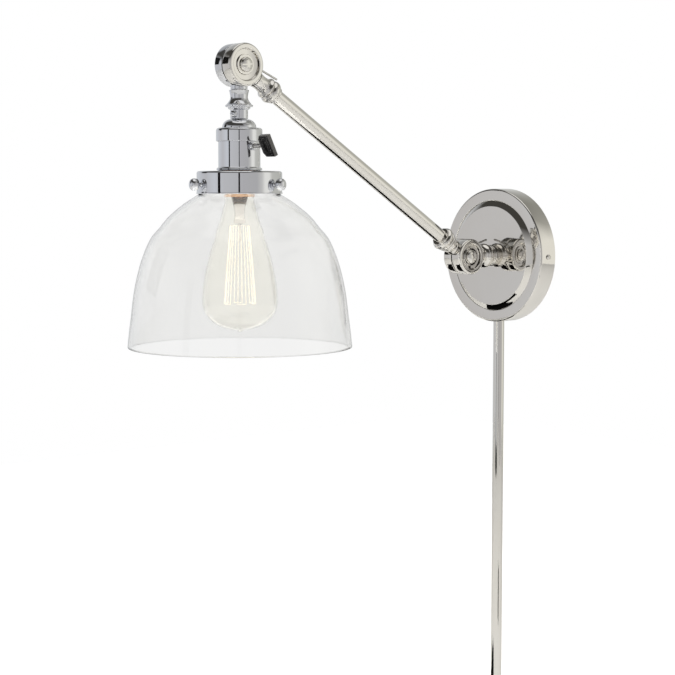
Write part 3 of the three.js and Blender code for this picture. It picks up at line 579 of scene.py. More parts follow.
def makeMetal(name):
    facts = finishes[name]
    material, tree, shader, coords = newMaterial(name)
    polish = placeGroup(tree, handling, coords, Roughness=facts["roughness"], Haze=facts["haze"],
        Prints=facts["prints"])
    age = placeGroup(tree, ageing, coords, Color=facts["color"], Aged=facts["aged"], Amount=facts["amount"],
        Scale=26)
    bump = addNode(tree, "ShaderNodeBump", {"Height": polish.outputs["Height"]}, Strength=facts["bump"],
        Distance=0.00005)
    tree.links.new(age.outputs["Color"], shader.inputs["Base Color"])
    tree.links.new(polish.outputs["Roughness"], shader.inputs["Roughness"])
    tree.links.new(bump.outputs[0], shader.inputs["Normal"])
    shader.inputs["Metallic"].default_value = 1
    return material


# the last value of each entry pales sharp edges: edge wear together with a painted edge highlight,
# strongest on the black resin
plains = {
    "blackResin": {"color": (0.006, 0.0055, 0.0065, 1), "aged": (0.16, 0.155, 0.15, 1), "amount": 0.06,
        "roughness": 0.12,
                   "haze": 0.10, "prints": 0.08, "bump": 0.08, "scale": 60, "coat": 0.0, "edgeWearAndHighlight": 0.9},
    "cableJacket": {"color": (0.035, 0.032, 0.030, 1), "aged": (0.10, 0.095, 0.09, 1), "amount": 0.4,
        "roughness": 0.55,
                    "haze": 0.15, "prints": 0.05, "bump": 0.3, "scale": 90, "coat": 0, "edgeWearAndHighlight": 0.2},
    "pressedFibre": {"color": (0.15, 0.10, 0.06, 1), "aged": (0.27, 0.20, 0.13, 1), "amount": 0.8,
        "roughness": 0.75,
                     "haze": 0.1, "prints": 0, "bump": 0.6, "scale": 220, "coat": 0, "edgeWearAndHighlight": 0.2},
    "porcelain": {"color": (0.80, 0.77, 0.70, 1), "aged": (0.55, 0.48, 0.38, 1), "amount": 0.3,
        "roughness": 0.25,
                  "haze": 0.2, "prints": 0.05, "bump": 0.2, "scale": 45, "coat": 0.4, "edgeWearAndHighlight": 0.1},
    "greenPaint": {"color": (0.045, 0.21, 0.07, 1), "aged": (0.30, 0.32, 0.25, 1), "amount": 0.5,
        "roughness": 0.35,
                   "haze": 0.2, "prints": 0.05, "bump": 0.25, "scale": 160, "coat": 0.2, "edgeWearAndHighlight": 0.5},
}


def makePlain(name):
    facts = plains[name]
    material, tree, shader, coords = newMaterial(name)
    polish = placeGroup(tree, handling, coords, Roughness=facts["roughness"], Haze=facts["haze"],
        Prints=facts["prints"])
    age = placeGroup(tree, ageing, coords, Color=facts["color"], Aged=facts["aged"], Amount=facts["amount"],
                     Scale=facts["scale"], Wear=facts["edgeWearAndHighlight"])
    bump = addNode(tree, "ShaderNodeBump", {"Height": polish.outputs["Height"]}, Strength=facts["bump"],
        Distance=0.0004)
    tree.links.new(age.outputs["Color"], shader.inputs["Base Color"])
    tree.links.new(polish.outputs["Roughness"], shader.inputs["Roughness"])
    tree.links.new(bump.outputs[0], shader.inputs["Normal"])
    shader.inputs["Coat Weight"].default_value = facts["coat"]
    return material


# glow and its colour give the bulb glass and its stem a faint warm painted glow; the glass itself gives no
# light
glasses = {
    "shadeGlass": {"color": (0.905, 0.905, 0.90, 1), "roughness": 0.0, "haze": 0.012, "prints": 0.02,
        "bump": 0.02,
                   "glow": 0.0, "paintedGlowColor": (1, 1, 1, 1)},
    "bulbGlass": {"color": (0.985, 0.98, 0.95, 1), "roughness": 0.0, "haze": 0.01, "prints": 0.01,
        "bump": 0.015,
                  "glow": 0.006, "paintedGlowColor": (1.0, 0.90, 0.66, 1)},
    "stemGlass": {"color": (0.98, 0.95, 0.93, 1), "roughness": 0.0, "haze": 0.01, "prints": 0, "bump": 0.03,
                  "glow": 0.01, "paintedGlowColor": (1.0, 0.72, 0.52, 1)},
}


def makeGlass(name):
    facts = glasses[name]
    material, tree, shader, coords = newMaterial(name)
    polish = placeGroup(tree, handling, coords, Roughness=facts["roughness"], Haze=facts["haze"],
        Prints=facts["prints"], Lines=0.3)
    bump = addNode(tree, "ShaderNodeBump", {"Height": polish.outputs["Height"]}, Strength=facts["bump"],
        Distance=0.0006)
    tree.links.new(polish.outputs["Roughness"], shader.inputs["Roughness"])
    tree.links.new(bump.outputs[0], shader.inputs["Normal"])
    shader.inputs["Base Color"].default_value = facts["color"]
    shader.inputs["Metallic"].default_value = 0
    shader.inputs["Transmission Weight"].default_value = 1
    shader.inputs["IOR"].default_value = 1.47
    # painted glow on the glass
    shader.inputs["Emission Color"].default_value = facts["paintedGlowColor"]
    shader.inputs["Emission Strength"].default_value = facts["glow"]
    return material


glowing = {"hot": (1.0, 0.93, 0.78, 1), "cooler": (1.0, 0.82, 0.58, 1), "strength": 1.15}


def makeGlowWire():
    material, tree, shader, coords = newMaterial("glowWire")
    age = placeGroup(tree, ageing, coords, Color=glowing["hot"], Aged=glowing["cooler"], Amount=0.7,
        Scale=120)
    polish = placeGroup(tree, handling, coords, Roughness=0.4)
    tree.links.new(age.outputs["Color"], shader.inputs["Emission Color"])
    tree.links.new(age.outputs["Color"], shader.inputs["Base Color"])
    tree.links.new(polish.outputs["Roughness"], shader.inputs["Roughness"])
    shader.inputs["Emission Strength"].default_value = glowing["strength"]
    return material


nickelWarmLightTint, nickelCoolLightTint, zincSteel, pinSteel, copperBrass = (makeMetal(name) for name in finishes)
blackResin, cableJacket, pressedFibre, porcelain, greenPaint = (makePlain(name) for name in plains)
shadeGlass, bulbGlass, stemGlass = (makeGlass(name) for name in glasses)
glowWire = makeGlowWire()
print("finishes ready")


# Canopy: a spun cup with a raised flat middle

canopy = {
    "radius": 63.5, "depth": 19, "wall": 1.2, "edge": 1.6, "raised": 47.2, "height": 3, "slope": 5.0,
    "hole": 5.3, "screwHole": 1.8, "coverHole": 5.55,
}


def makeCanopy():
    s = canopy
    face, inner = s["depth"] + s["height"], s["radius"] - s["wall"]
    foot = s["raised"] + s["slope"]
    outline = ([(s["radius"], 0), (s["radius"], 6)] + bend(s["radius"] - s["edge"], s["depth"] - s["edge"],
        s["edge"], 0, 90, 7) + [(foot + 1.2, s["depth"])]
        + bend(foot + 0.55, s["depth"] - 0.35, 0.35, 90, 180, 2) + [(foot - 0.1, s["depth"] - 0.1)]
        + bend(s["raised"] - 0.4, face - 1.1, 1.1, 58, 90, 4)
        + [(s["hole"] + 20, face), (s["hole"], face), (s["hole"], face - s["wall"]),
        (s["raised"] - 1, face - s["wall"]), (foot - 1, s["depth"] - s["wall"]),
        (inner - 1.2, s["depth"] - s["wall"]), (inner, s["depth"] - s["wall"] - 1.2), (inner, 0)])
    cup = turnPiece("canopyCup", outline, outward, 160)
    middleOut = Matrix.Translation((0, coverOut, 0))
    carve(cup, rodTool(s["screwHole"], -s["radius"] - 4, s["radius"] + 4, sideways(middleOut, 1)),
          rodTool(s["coverHole"], 20, s["radius"] + 8, below, 64))
    smooth(cup, 30)
    finishPiece(cup, "root", "polished_nickel", nickelWarmLightTint, "canopy")


rimScrew = {"shank": 1.5, "head": 2.4, "height": 1.5, "start": 54.5, "seat": 63.8, "slot": 0.55}


def makeRimScrews():
    s = rimScrew
    outline = [(0, s["start"]), (s["shank"] - 0.3, s["start"]), (s["shank"], s["start"] + 0.4),
        (s["shank"], s["seat"]), (s["head"] - 0.1, s["seat"])] + [(s["head"] * math.cos(math.radians(a)),
        s["seat"] + 0.25 + (s["height"] - 0.25) * math.sin(math.radians(a))) for a in range(0, 91, 15)]
    middleOut = Matrix.Translation((0, coverOut, 0))
    right = turnPiece("rimScrewRight", outline, sideways(middleOut, 1), 40, ring=False)
    top = s["seat"] + s["height"]
    for size in ((s["slot"], 3.2, 1.6), (3.2, s["slot"], 1.6)):
        carve(right, block("tool", size, (0, 0, top), sideways(middleOut, 1)))
    smooth(right, 25)
    left = copyPiece(right, "rimScrewLeft", middleOut @ Matrix.Rotation(math.pi, 4, "Y")
        @ middleOut.inverted())
    finishPiece(right, "root", "polished_nickel", nickelWarmLightTint, "canopy_screw_right")
    finishPiece(left, "root", "polished_nickel", nickelWarmLightTint, "canopy_screw_left")


bracket = {"half": 59.5, "width": 24, "sheet": 2, "tab": 14, "slot": 12, "slotWidth": 4.5, "ground": 14,
    "edge": 0.5}


def makeBracket():
    s = bracket
    bar = block("bracketBar", (2 * s["half"], s["tab"], s["width"]), (0, -s["tab"] / 2, 0),
        Matrix.Identity(4))
    carve(bar, block("tool", (2 * (s["half"] - s["sheet"]), 20, 2 * s["width"]), (0, -s["sheet"] - 10, 0),
        Matrix.Identity(4)))
    for side in (-1, 1):
        centre = side * s["half"] / 2
        carve(bar, block("tool", (s["slot"], 8, s["slotWidth"]), (centre, 0, 0), Matrix.Identity(4)))
        for end in (-1, 1):
            carve(bar, rodTool(s["slotWidth"] / 2 - 0.01, -4, 4,
                Matrix.Translation(((centre + end * s["slot"] / 2) * mm, 0, 0)) @ outward))
    carve(bar, rodTool(1.8, -70, 70, sideways(Matrix.Translation((0, coverOut, 0)), 1)),
          rodTool(1.7, -4, 4, Matrix.Translation((s["ground"] * mm, 0, 0)) @ outward))
    soften(bar, s["edge"], 2, 50)
    finishPiece(bar, "root", "steel", zincSteel, "mounting_bracket")


def makeBackFixings():
    place = Matrix.Translation((bracket["ground"] * mm, 0, 0)) @ outward
    screw = turnPiece("groundScrew", [(0, 0.3), (1.2, 0.3), (1.4, 0.6), (1.4, 2.4), (3.5, 2.4), (3.6, 2.6),
        (3.6, 4.3), (3.2, 4.8), (2.4, 5.1), (0, 5.15)], place, 40, ring=False)
    carve(screw, block("tool", (9, 0.9, 1.6), (0, 0, 5.2), place))
    finishPiece(screw, "root", "green_paint", greenPaint, "ground_screw")
    threads = []
    for i in range(22):
        threads += [(5.0, 10.3 + 0.84 * i), (4.62, 10.72 + 0.84 * i)]
    nipple = turnPiece("threadedNipple", [(3.8, 10.2), (4.6, 10.0)] + threads + [(4.9, 28.9), (3.8, 28.9)],
        outward, 40)
    finishPiece(nipple, "root", "steel", zincSteel, "threaded_nipple")
    nut = hexNut("nippleNut", 8.5, 5.3, 15.5, 20.5, outward)
    finishPiece(nut, "root", "steel", zincSteel, "nipple_nut")
    coverNut = hexNut("coverNut", 7.6, 5.55, 57.5, 61.5, below, 30)
    finishPiece(coverNut, "root", "steel", zincSteel, "cord_cover_nut")


makeCanopy()
makeRimScrews()
makeBracket()
makeBackFixings()
print("canopy and bracket ready")


# Cord cover

cover = {"radius": 5.25, "bore": 4.25, "start": 57, "end": 520.5, "bushing": 2.0, "plug": 8,
    "bushingBore": 3.25}


def makeCover():
    s = cover
    pipe = turnPiece("coverPipe", [(s["bore"], s["start"])]
        + bend(s["radius"] - 0.3, s["start"] + 0.3, 0.3, -90, 0, 3)
        + [(s["radius"], s["start"] + 100 * i) for i in range(1, 5)]
        + bend(s["radius"] - 0.3, s["end"] - 0.3, 0.3, 0, 90, 3) + [(s["bore"], s["end"])], below, 64)
    finishPiece(pipe, "root", "polished_nickel", nickelWarmLightTint, "cord_cover_tube")
    top = s["end"] + 0.3
    end = top + s["bushing"]
    bushing = turnPiece("coverBushing", [(s["bushingBore"], s["end"] - s["plug"]),
        (3.7, s["end"] - s["plug"]), (3.95, s["end"] - s["plug"] + 1), (3.95, top),
        (s["radius"] - 0.2, top), (s["radius"], top + 0.2)]
        + bend(s["radius"] - 0.8, end - 0.8, 0.8, 0, 90, 4)
        + bend(s["bushingBore"] + 0.5, end - 0.5, 0.5, 90, 180, 3), below, 48)
    finishPiece(bushing, "root", "black_plastic", blackResin, "cord_cover_bushing")


makeCover()
print("cord cover ready")


# Swivel neck with its ball and rings

neck = {"start": 22.3, "end": 38.2, "bore": 5.3, "flange": 10.0, "ball": 11.5, "ballCentre": 31.0,
    "waist": 7.5}


def makeNeck():
    s = neck
    z = s["start"]
    outline = ([(s["bore"], z), (s["flange"] - 0.4, z), (s["flange"], z + 0.3)]
        + bend(s["flange"] - 0.5, z + 0.9, 0.5, 0, 90, 3)
        + [(s["flange"] - 1.5, z + 1.7), (s["flange"] - 1.5, z + 2.0)]
        + bend(s["flange"] - 0.7, z + 2.7, 0.7, -90, 90, 6) + [(s["flange"] - 1.6, z + 3.7)]
        + bend(s["ball"] - 5.6, s["ballCentre"], 5.6, -42, 66, 12)
        + bend(s["waist"] + 0.5, s["end"] - 1.1, 0.7, -60, 60, 5)
        + [(s["waist"], s["end"]), (s["bore"], s["end"])])
    body = turnPiece("neckBall", outline, outward, 96)
    finishPiece(body, "neck", "polished_nickel", nickelWarmLightTint, "swivel_neck")


# Knuckles: two dished halves on one slotted screw, with a thin washer and lever between

knuckle = {
    "half": 11, "seam": 0.6, "rim": 4.5, "dish": 2.6, "bore": 3.2, "root": 7.2, "reach": 2.5, "stub": 5,
        "stubLength": 8,
    "screwHead": 6.2, "screwHeight": 3.2, "slot": 1.2, "washer": 8.6, "washerSheet": 0.8,
    "lever": 0.6, "pin": 0.9, "wallRadius": 16.5, "headRadius": 18,
    "wallLever": (38, 23, 17.4), "headLever": (28, 19, 23.8),   # lift, lean in degrees, pin length
}


def makeHalf(name, radius, place, side):
    s = knuckle
    dish, floor, end = radius - s["rim"], s["half"] - s["dish"], radius + s["reach"]
    outline = ([(s["bore"], s["seam"]), (radius - 0.5, s["seam"])]
        + bend(radius - 0.5, s["seam"] + 0.5, 0.5, -90, 0, 3) + [(radius, s["half"] / 2)]
        + bend(radius - 1.8, s["half"] - 1.8, 1.8, 0, 90, 8)
        + bend(dish + 0.6, s["half"] - 0.6, 0.6, 90, 180, 4) + bend(dish - 1.0, floor + 0.6, 0.6, 0, -90, 3)
        + [(s["bore"], floor)])
    disc = turnPiece(name, outline, sideways(place, side), 112)
    root = turnPiece("tool", [(0, 0), (s["root"], 0)] + bend(s["root"] - 0.5, end - 0.5, 0.5, 0, 90, 3)
        + [(s["stub"], end), (s["stub"], end + s["stubLength"] - 0.4),
        (s["stub"] - 0.4, end + s["stubLength"]), (0, end + s["stubLength"])], place, 64, ring=False)
    carve(root, rodTool(radius + 0.3, -s["half"] - 1, s["seam"] + 0.03, sideways(place, side), 111),
          rodTool(s["bore"] + 0.3, -12, 12, sideways(place, side), 48))
    combine(disc, root, "UNION")
    smooth(disc, 30)
    return disc


def makePivot(prefix, place, body, finish, nutTurn):
    s = knuckle
    seat = s["half"] - s["dish"] + 0.3
    foot, nutEnd = seat + s["washerSheet"] + 0.3, seat + 4
    axis = sideways(place, 1)
    dome = [(s["screwHead"] * math.cos(math.radians(a)), foot + 0.8
        + (s["screwHeight"] - 0.8) * math.sin(math.radians(a))) for a in range(0, 91, 9)]
    screw = turnPiece(prefix + "PivotScrew", [(0, 1 - nutEnd), (2.4, 1 - nutEnd), (2.9, 1.5 - nutEnd),
        (2.9, foot), (s["screwHead"] - 0.3, foot), (s["screwHead"], foot + 0.3)] + dome, axis, 72,
        ring=False)
    carve(screw, block("tool", (3 * s["screwHead"], s["slot"], 2.4), (0, 0, foot + s["screwHeight"]),
                       axis @ Matrix.Rotation(math.radians(38), 4, "Z")))
    smooth(screw, 30)
    finishPiece(screw, body, "polished_nickel", finish, prefix + "_pivot_screw")
    washer = turnPiece(prefix + "PivotWasher", [(s["bore"], seat), (s["washer"] - 0.2, seat),
        (s["washer"], seat + 0.2), (s["washer"], seat + 0.5), (s["washer"] - 0.3, seat + s["washerSheet"]),
        (s["bore"], seat + s["washerSheet"])], axis, 72)
    finishPiece(washer, body, "polished_nickel", finish, prefix + "_pivot_washer")
    nut = hexNut(prefix + "PivotNut", s["screwHead"], s["bore"], -nutEnd, -seat, axis, nutTurn)
    finishPiece(nut, body, "polished_nickel", finish, prefix + "_pivot_nut")


def makeLever(prefix, radius, place, facts, body):
    s = knuckle
    lift, lean, length = facts
    turned = place @ Matrix.Rotation(math.radians(lift), 4, "X")
    ring = turnPiece(prefix + "Lever", [(s["bore"], -0.3), (radius - 3.1, -0.3), (radius - 3, -0.2),
        (radius - 3, 0.2), (radius - 3.1, 0.3), (s["bore"], 0.3)], sideways(turned, 1), 80)
    toSide = turned @ Matrix.Rotation(math.radians(-90), 4, "X")
    strip = block("tool", (s["lever"] - 0.02, 2 * s["pin"], 6), (0, 0, radius - 1.5), toSide)
    pinPlace = (toSide @ Matrix.Translation((0, 0, (radius + 0.9) * mm))
        @ Matrix.Rotation(math.radians(-lean), 4, "X"))
    pin = turnPiece("tool", [(0, 0), (s["pin"] - 0.2, 0), (s["pin"], 0.3)]
        + bend(0, length - s["pin"], s["pin"], 0, 90, 6), pinPlace, 32, ring=False)
    combine(ring, strip, "UNION")
    combine(ring, pin, "UNION")
    smooth(ring, 30)
    finishPiece(ring, body, "steel", pinSteel, prefix + "_tension_lever")


def makeKnuckles():
    s = knuckle
    wallPlace = Matrix.Translation(wallPivot)
    finishPiece(makeHalf("wallKnuckleFront", s["wallRadius"], toWall, 1), "neck", "polished_nickel",
        nickelWarmLightTint, "wall_knuckle_front")
    makePivot("wall", wallPlace, "neck", nickelWarmLightTint, 30)
    makeLever("wall", s["wallRadius"], wallPlace, s["wallLever"], "wall_lever")
    finishPiece(makeHalf("wallKnuckleBack", s["wallRadius"], up, -1), "arm", "polished_nickel", nickelWarmLightTint,
                "wall_knuckle_back")
    finishPiece(makeHalf("headKnuckleFront", s["headRadius"], down, 1), "arm", "polished_nickel",
        nickelWarmLightTint, "head_knuckle_front")
    makePivot("head", down, "arm", nickelWarmLightTint, 0)
    headTurned = Matrix.Translation(headPivot) @ Matrix.Rotation(-slant, 4, "X")
    makeLever("head", s["headRadius"], headTurned, s["headLever"], "head_lever")
    finishPiece(makeHalf("headKnuckleBack", s["headRadius"], drop, -1), "head", "polished_nickel",
        nickelCoolLightTint, "head_knuckle_back")


makeNeck()
makeKnuckles()
print("neck and knuckles ready")


# Arm tube and its turned collars

arm = {"radius": 6.35, "wall": 1, "socket": 7, "root": 7.2, "wallStart": 19.3, "wallLength": 17,
    "headStart": 20.8, "headLength": 25, "bead": 10.95, "cable": 3.0, "stubBore": 5.3, "stub": 8}


def collarBore(start, length):
    s = arm
    seat = start + length - s["socket"] - 0.3
    return [(s["radius"] + 0.3, start + length), (s["radius"] + 0.3, seat), (s["cable"], seat),
            (s["cable"], start + s["stub"]), (s["stubBore"], start + s["stub"]), (s["stubBore"], start)]


def makeArm():
    s = arm
    z, length = s["wallStart"], s["wallLength"]
    lower = ([(s["root"] + 0.4, z), (s["root"] + 0.9, z + 2), (s["root"] + 1.6, z + 5),
        (s["root"] + 1.7, z + 6.4), (s["root"] + 1.0, z + 7)]
        + bend(s["bead"] - 2.2, z + 8.6, 1.2, -70, 70, 7) + [(s["bead"] - 2.5, z + 10.1)]
        + bend(s["bead"] - 2.4, z + 13.0, 2.4, -72, 66, 10) + [(s["bead"] - 2.0, z + 15.6)]
        + bend(s["bead"] - 2.5, z + 16.4, 0.6, -30, 90, 5) + collarBore(z, length))
    finishPiece(turnPiece("armCollarWall", lower, up, 80), "arm", "polished_nickel", nickelWarmLightTint,
        "arm_collar_wall")
    z, length = s["headStart"], s["headLength"]
    waist = smoothLine([(s["root"], z), (s["root"] - 0.6, z + 5), (s["root"], z + 10),
        (s["bead"] - 2, z + 12.4)], 4)
    upper = (waist + [(s["bead"] - 1.6, z + 12.9)] + bend(s["bead"] - 2.0, z + 13.5, 0.6, -40, 80, 4)
             + bend(s["bead"] - 5.2, z + 19.2, 4.4, -56, 62, 12) + [(s["radius"] + 1.5, z + 23.8)]
             + bend(s["radius"] + 1.0, z + 24.4, 0.6, -20, 90, 4) + collarBore(z, length))
    finishPiece(turnPiece("armCollarHead", upper, down, 80), "arm", "polished_nickel", nickelWarmLightTint,
        "arm_collar_head")
    start = s["wallStart"] + s["wallLength"] - s["socket"]
    end = span.length / mm - s["headStart"] - s["headLength"] + s["socket"]
    pipe = turnPiece("armPipe", [(s["radius"] - s["wall"], start), (s["radius"] - 0.2, start),
        (s["radius"], start + 0.2)] + [(s["radius"], start + (end - start) * i / 4) for i in (1, 2, 3)]
        + [(s["radius"], end - 0.2), (s["radius"] - 0.2, end), (s["radius"] - s["wall"], end)], up, 72)
    finishPiece(pipe, "arm", "polished_nickel", nickelWarmLightTint, "arm_tube")


makeArm()
print("arm ready")


# Stem under the head knuckle

stem = {"top": 20.8, "length": 24, "root": 8.4, "flare": 11.7, "radius": 7.5, "thread": 4.8,
    "threadLength": 5, "bore": 3.2, "stubBore": 5.3, "stub": 8.3, "screwAngle": -70, "screwUp": 4,
    "screwHead": 3.1}


def makeStem():
    s = stem
    z, end = s["top"], s["top"] + s["length"]
    bell = smoothLine([(s["root"], z + 0.4), (s["root"] - 0.9, z + 4.5), (s["root"] - 0.6, z + 8),
        (s["flare"] - 1.4, z + 11.6), (s["flare"], z + 12.6)], 5)
    threads = []
    for i in range(5):
        threads += [(s["thread"], end + 0.2 + 0.9 * i), (s["thread"] - 0.4, end + 0.65 + 0.9 * i)]
    outline = ([(s["stubBore"], z), (s["root"] - 0.3, z)] + bell
        + bend(s["flare"] - 0.7, z + 13.4, 0.7, 0, 90, 4) + [(s["radius"] + 1.9, z + 14.4)]
        + bend(s["radius"] + 1.2, z + 15.1, 0.7, -20, 90, 4)
        + [(s["radius"], z + 16.6), (s["radius"], end - 0.3), (s["radius"] - 0.3, end)] + threads
        + [(s["thread"] - 0.4, end + s["threadLength"]), (s["bore"], end + s["threadLength"]),
        (s["bore"], z + s["stub"]), (s["stubBore"], z + s["stub"])])
    body = turnPiece("headStem", outline, drop, 96)
    screwPlace = radial(end - s["screwUp"], s["screwAngle"])
    carve(body, rodTool(1.6, s["bore"] - 1, s["radius"] + 4, screwPlace))
    smooth(body, 30)
    finishPiece(body, "head", "polished_nickel", nickelCoolLightTint, "head_stem")
    seat = s["radius"] + 0.7
    dome = [(s["screwHead"] * math.cos(math.radians(a)), seat + 0.7
        + 1.85 * math.sin(math.radians(a))) for a in range(0, 91, 10)]
    screw = turnPiece("stemSetScrew", [(0, 4.0), (1.1, 4.0), (1.3, 4.2), (1.3, seat),
        (s["screwHead"] - 0.3, seat), (s["screwHead"], seat + 0.3)] + dome, screwPlace, 48, ring=False)
    carve(screw, block("tool", (8, 0.7, 1.6), (0, 0, seat + 2.55), screwPlace
        @ Matrix.Rotation(math.radians(60), 4, "Z")))
    smooth(screw, 30)
    finishPiece(screw, "head", "polished_nickel", nickelCoolLightTint, "stem_set_screw")


# Lamp socket: cap, shell, ring, lining and sleeve

socket = {"hole": 5.1, "dome": 14.4, "domeHeight": 7, "cap": 19.5, "sheet": 1.0,
    "shell": 17.7, "shellSheet": 0.8, "bead": 19.3, "beadHeight": 2.6}


def makeSocket():
    s = socket
    top = levelOf("socket_cap", "top")
    shelf, bottom = top + s["domeHeight"], levelOf("socket_cap", "bottom")
    reach = s["dome"] - 7.0
    outer = [(7.0 + reach * math.cos(math.radians(a)), shelf - s["domeHeight"] * math.sin(math.radians(a)))
             for a in range(90, -1, -9)]
    inner = [(7.0 + (reach - s["sheet"]) * math.cos(math.radians(a)), shelf
        + 0.2 - (s["domeHeight"] - s["sheet"]) * math.sin(math.radians(a))) for a in range(0, 91, 15)]
    outline = ([(s["hole"], top)] + outer + [(s["dome"] + 0.5, shelf + 0.5)]
        + bend(s["cap"] - 2.4, shelf + 2.6, 2.4, -90, 0, 9) + [(s["cap"], bottom - 1.2)]
        + bend(s["cap"] - 0.5, bottom - 0.5, 0.5, 0, 90, 4)
        + [(s["cap"] - s["sheet"], bottom), (s["cap"] - s["sheet"], shelf + 2.8),
        (s["cap"] - 3, shelf + 1.6), (s["dome"] - s["sheet"] + 0.2, shelf + 1.4)] + inner
        + [(s["hole"], top + s["sheet"])])
    cap = turnPiece("socketCap", outline, drop, 128)
    finishPiece(cap, "head", "polished_nickel", nickelCoolLightTint, "socket_cap")
    low, high = levelOf("socket_shell", "bottom"), levelOf("socket_shell", "top")
    inside = s["shell"] - s["shellSheet"]
    beadTop = low - s["beadHeight"]
    shell = turnPiece("socketShell", [(inside, high), (s["shell"] - 0.2, high), (s["shell"], high + 0.2),
        (s["shell"], high + 12), (s["shell"], beadTop - 0.5), (s["shell"] + 0.4, beadTop)]
        + bend(s["bead"] - 1.1, beadTop + 1.3, 1.1, -75, 75, 8) + [(s["bead"] - 1.2, low), (inside, low)],
        drop, 128)
    keyLevel = belowPivot("key_shaft")
    keyPlace = radial(keyLevel, 0)
    carve(shell, rodTool(3.1, 9, 24, keyPlace, 48))
    smooth(shell, 30)
    finishPiece(shell, "head", "polished_nickel", nickelCoolLightTint, "socket_shell")
    nutTop = levelOf("stem_locknut", "top")
    nut = hexNut("stemLocknut", 7.5, s["hole"], nutTop, nutTop + 2.8, drop)
    finishPiece(nut, "head", "steel", zincSteel, "stem_locknut")
    return keyLevel


key = {"start": 9.3, "paddleStart": 31, "width": 14, "height": 19, "sheet": 3.4, "turn": 26, "groove": 0.45}


def makeKey(keyLevel):
    s = key
    place = radial(keyLevel, 0)
    bushing = turnPiece("keyBushing", [(2.2, 16.9), (2.8, 16.9), (2.8, 18.0), (3.6, 18.0)]
        + bend(3.2, 19.0, 0.4, 0, 60, 2) + [(2.9, 19.8)] + bend(2.9, 20.6, 0.7, -80, 80, 6) + [(2.2, 21.3)],
        place, 48)
    finishPiece(bushing, "head", "polished_nickel", nickelCoolLightTint, "key_bushing")
    shaft = turnPiece("keyShaft", [(0, s["start"]), (1.7, s["start"]), (1.9, 9.6), (1.9, 22), (1.5, 22.4),
        (1.5, 23.4), (1.9, 23.8), (1.9, 30.5), (1.7, 30.7), (0, 30.7)], place, 40, ring=False)
    finishPiece(shaft, "key", "steel", pinSteel, "key_shaft")
    flat = (Matrix.Translation(headPivot - Vector((0, 0, keyLevel * mm)))
        @ Matrix.Rotation(math.radians(s["turn"]), 4, "X"))
    paddle = block("keyPaddle", (s["width"], s["sheet"], s["height"]),
        (s["paddleStart"] + s["width"] / 2, 0, 0), Matrix.Identity(4))
    # the two corners next to the shaft are cut off
    for end in (-1, 1):
        corner = block("tool", (8, 8, 5), (s["paddleStart"], 0, end * (s["height"] / 2 + 0.4)),
                       Matrix.Identity(4))
        pick(corner)
        carve(paddle, cornerTurned(corner, s["paddleStart"], end * s["height"] / 2, end))
    pick(paddle)
    bpy.ops.object.mode_set(mode="EDIT")
    bpy.ops.mesh.select_all(action="DESELECT")
    bpy.ops.mesh.select_mode(type="FACE")
    bpy.ops.object.mode_set(mode="OBJECT")
    for face in paddle.data.polygons:
        face.select = abs(face.normal.y) > 0.9
    bpy.ops.object.mode_set(mode="EDIT")
    for border, sink in ((1.5, -1), (1.3, 1), (0.9, -1), (0.7, 1)):
        bpy.ops.mesh.inset(thickness=border * mm, depth=0, use_individual=True)
        bpy.ops.mesh.inset(thickness=0.3 * mm, depth=sink * s["groove"] * mm, use_individual=True)
    bpy.ops.mesh.select_mode(type="VERT")
    bpy.ops.object.mode_set(mode="OBJECT")
    soften(paddle, 0.25, 2, 30)
    applyPlace(paddle, flat)
    finishPiece(paddle, "key", "black_plastic", blackResin, "key_paddle")


def cornerTurned(tool, x, z, end):
    centre = Matrix.Translation((x * mm, 0, z * mm))
    applyPlace(tool, centre @ Matrix.Rotation(math.radians(-53 * end), 4, "Y") @ centre.inverted())
    return tool


# Shade holder, ring nut, sleeve and thumb screws

holder = {"radius": 36.4, "sheet": 1.4, "edge": 2.0, "hole": 17.7, "lip": 0.4,
    "thumbAngles": (18, 138, 258), "shank": 1.7, "knob": 5.1, "knobLength": 8, "standOff": 1.2, "tip": 31.1,
    "sleeve": 17.4, "sleeveWall": 2.7, "sleeveLength": 16}


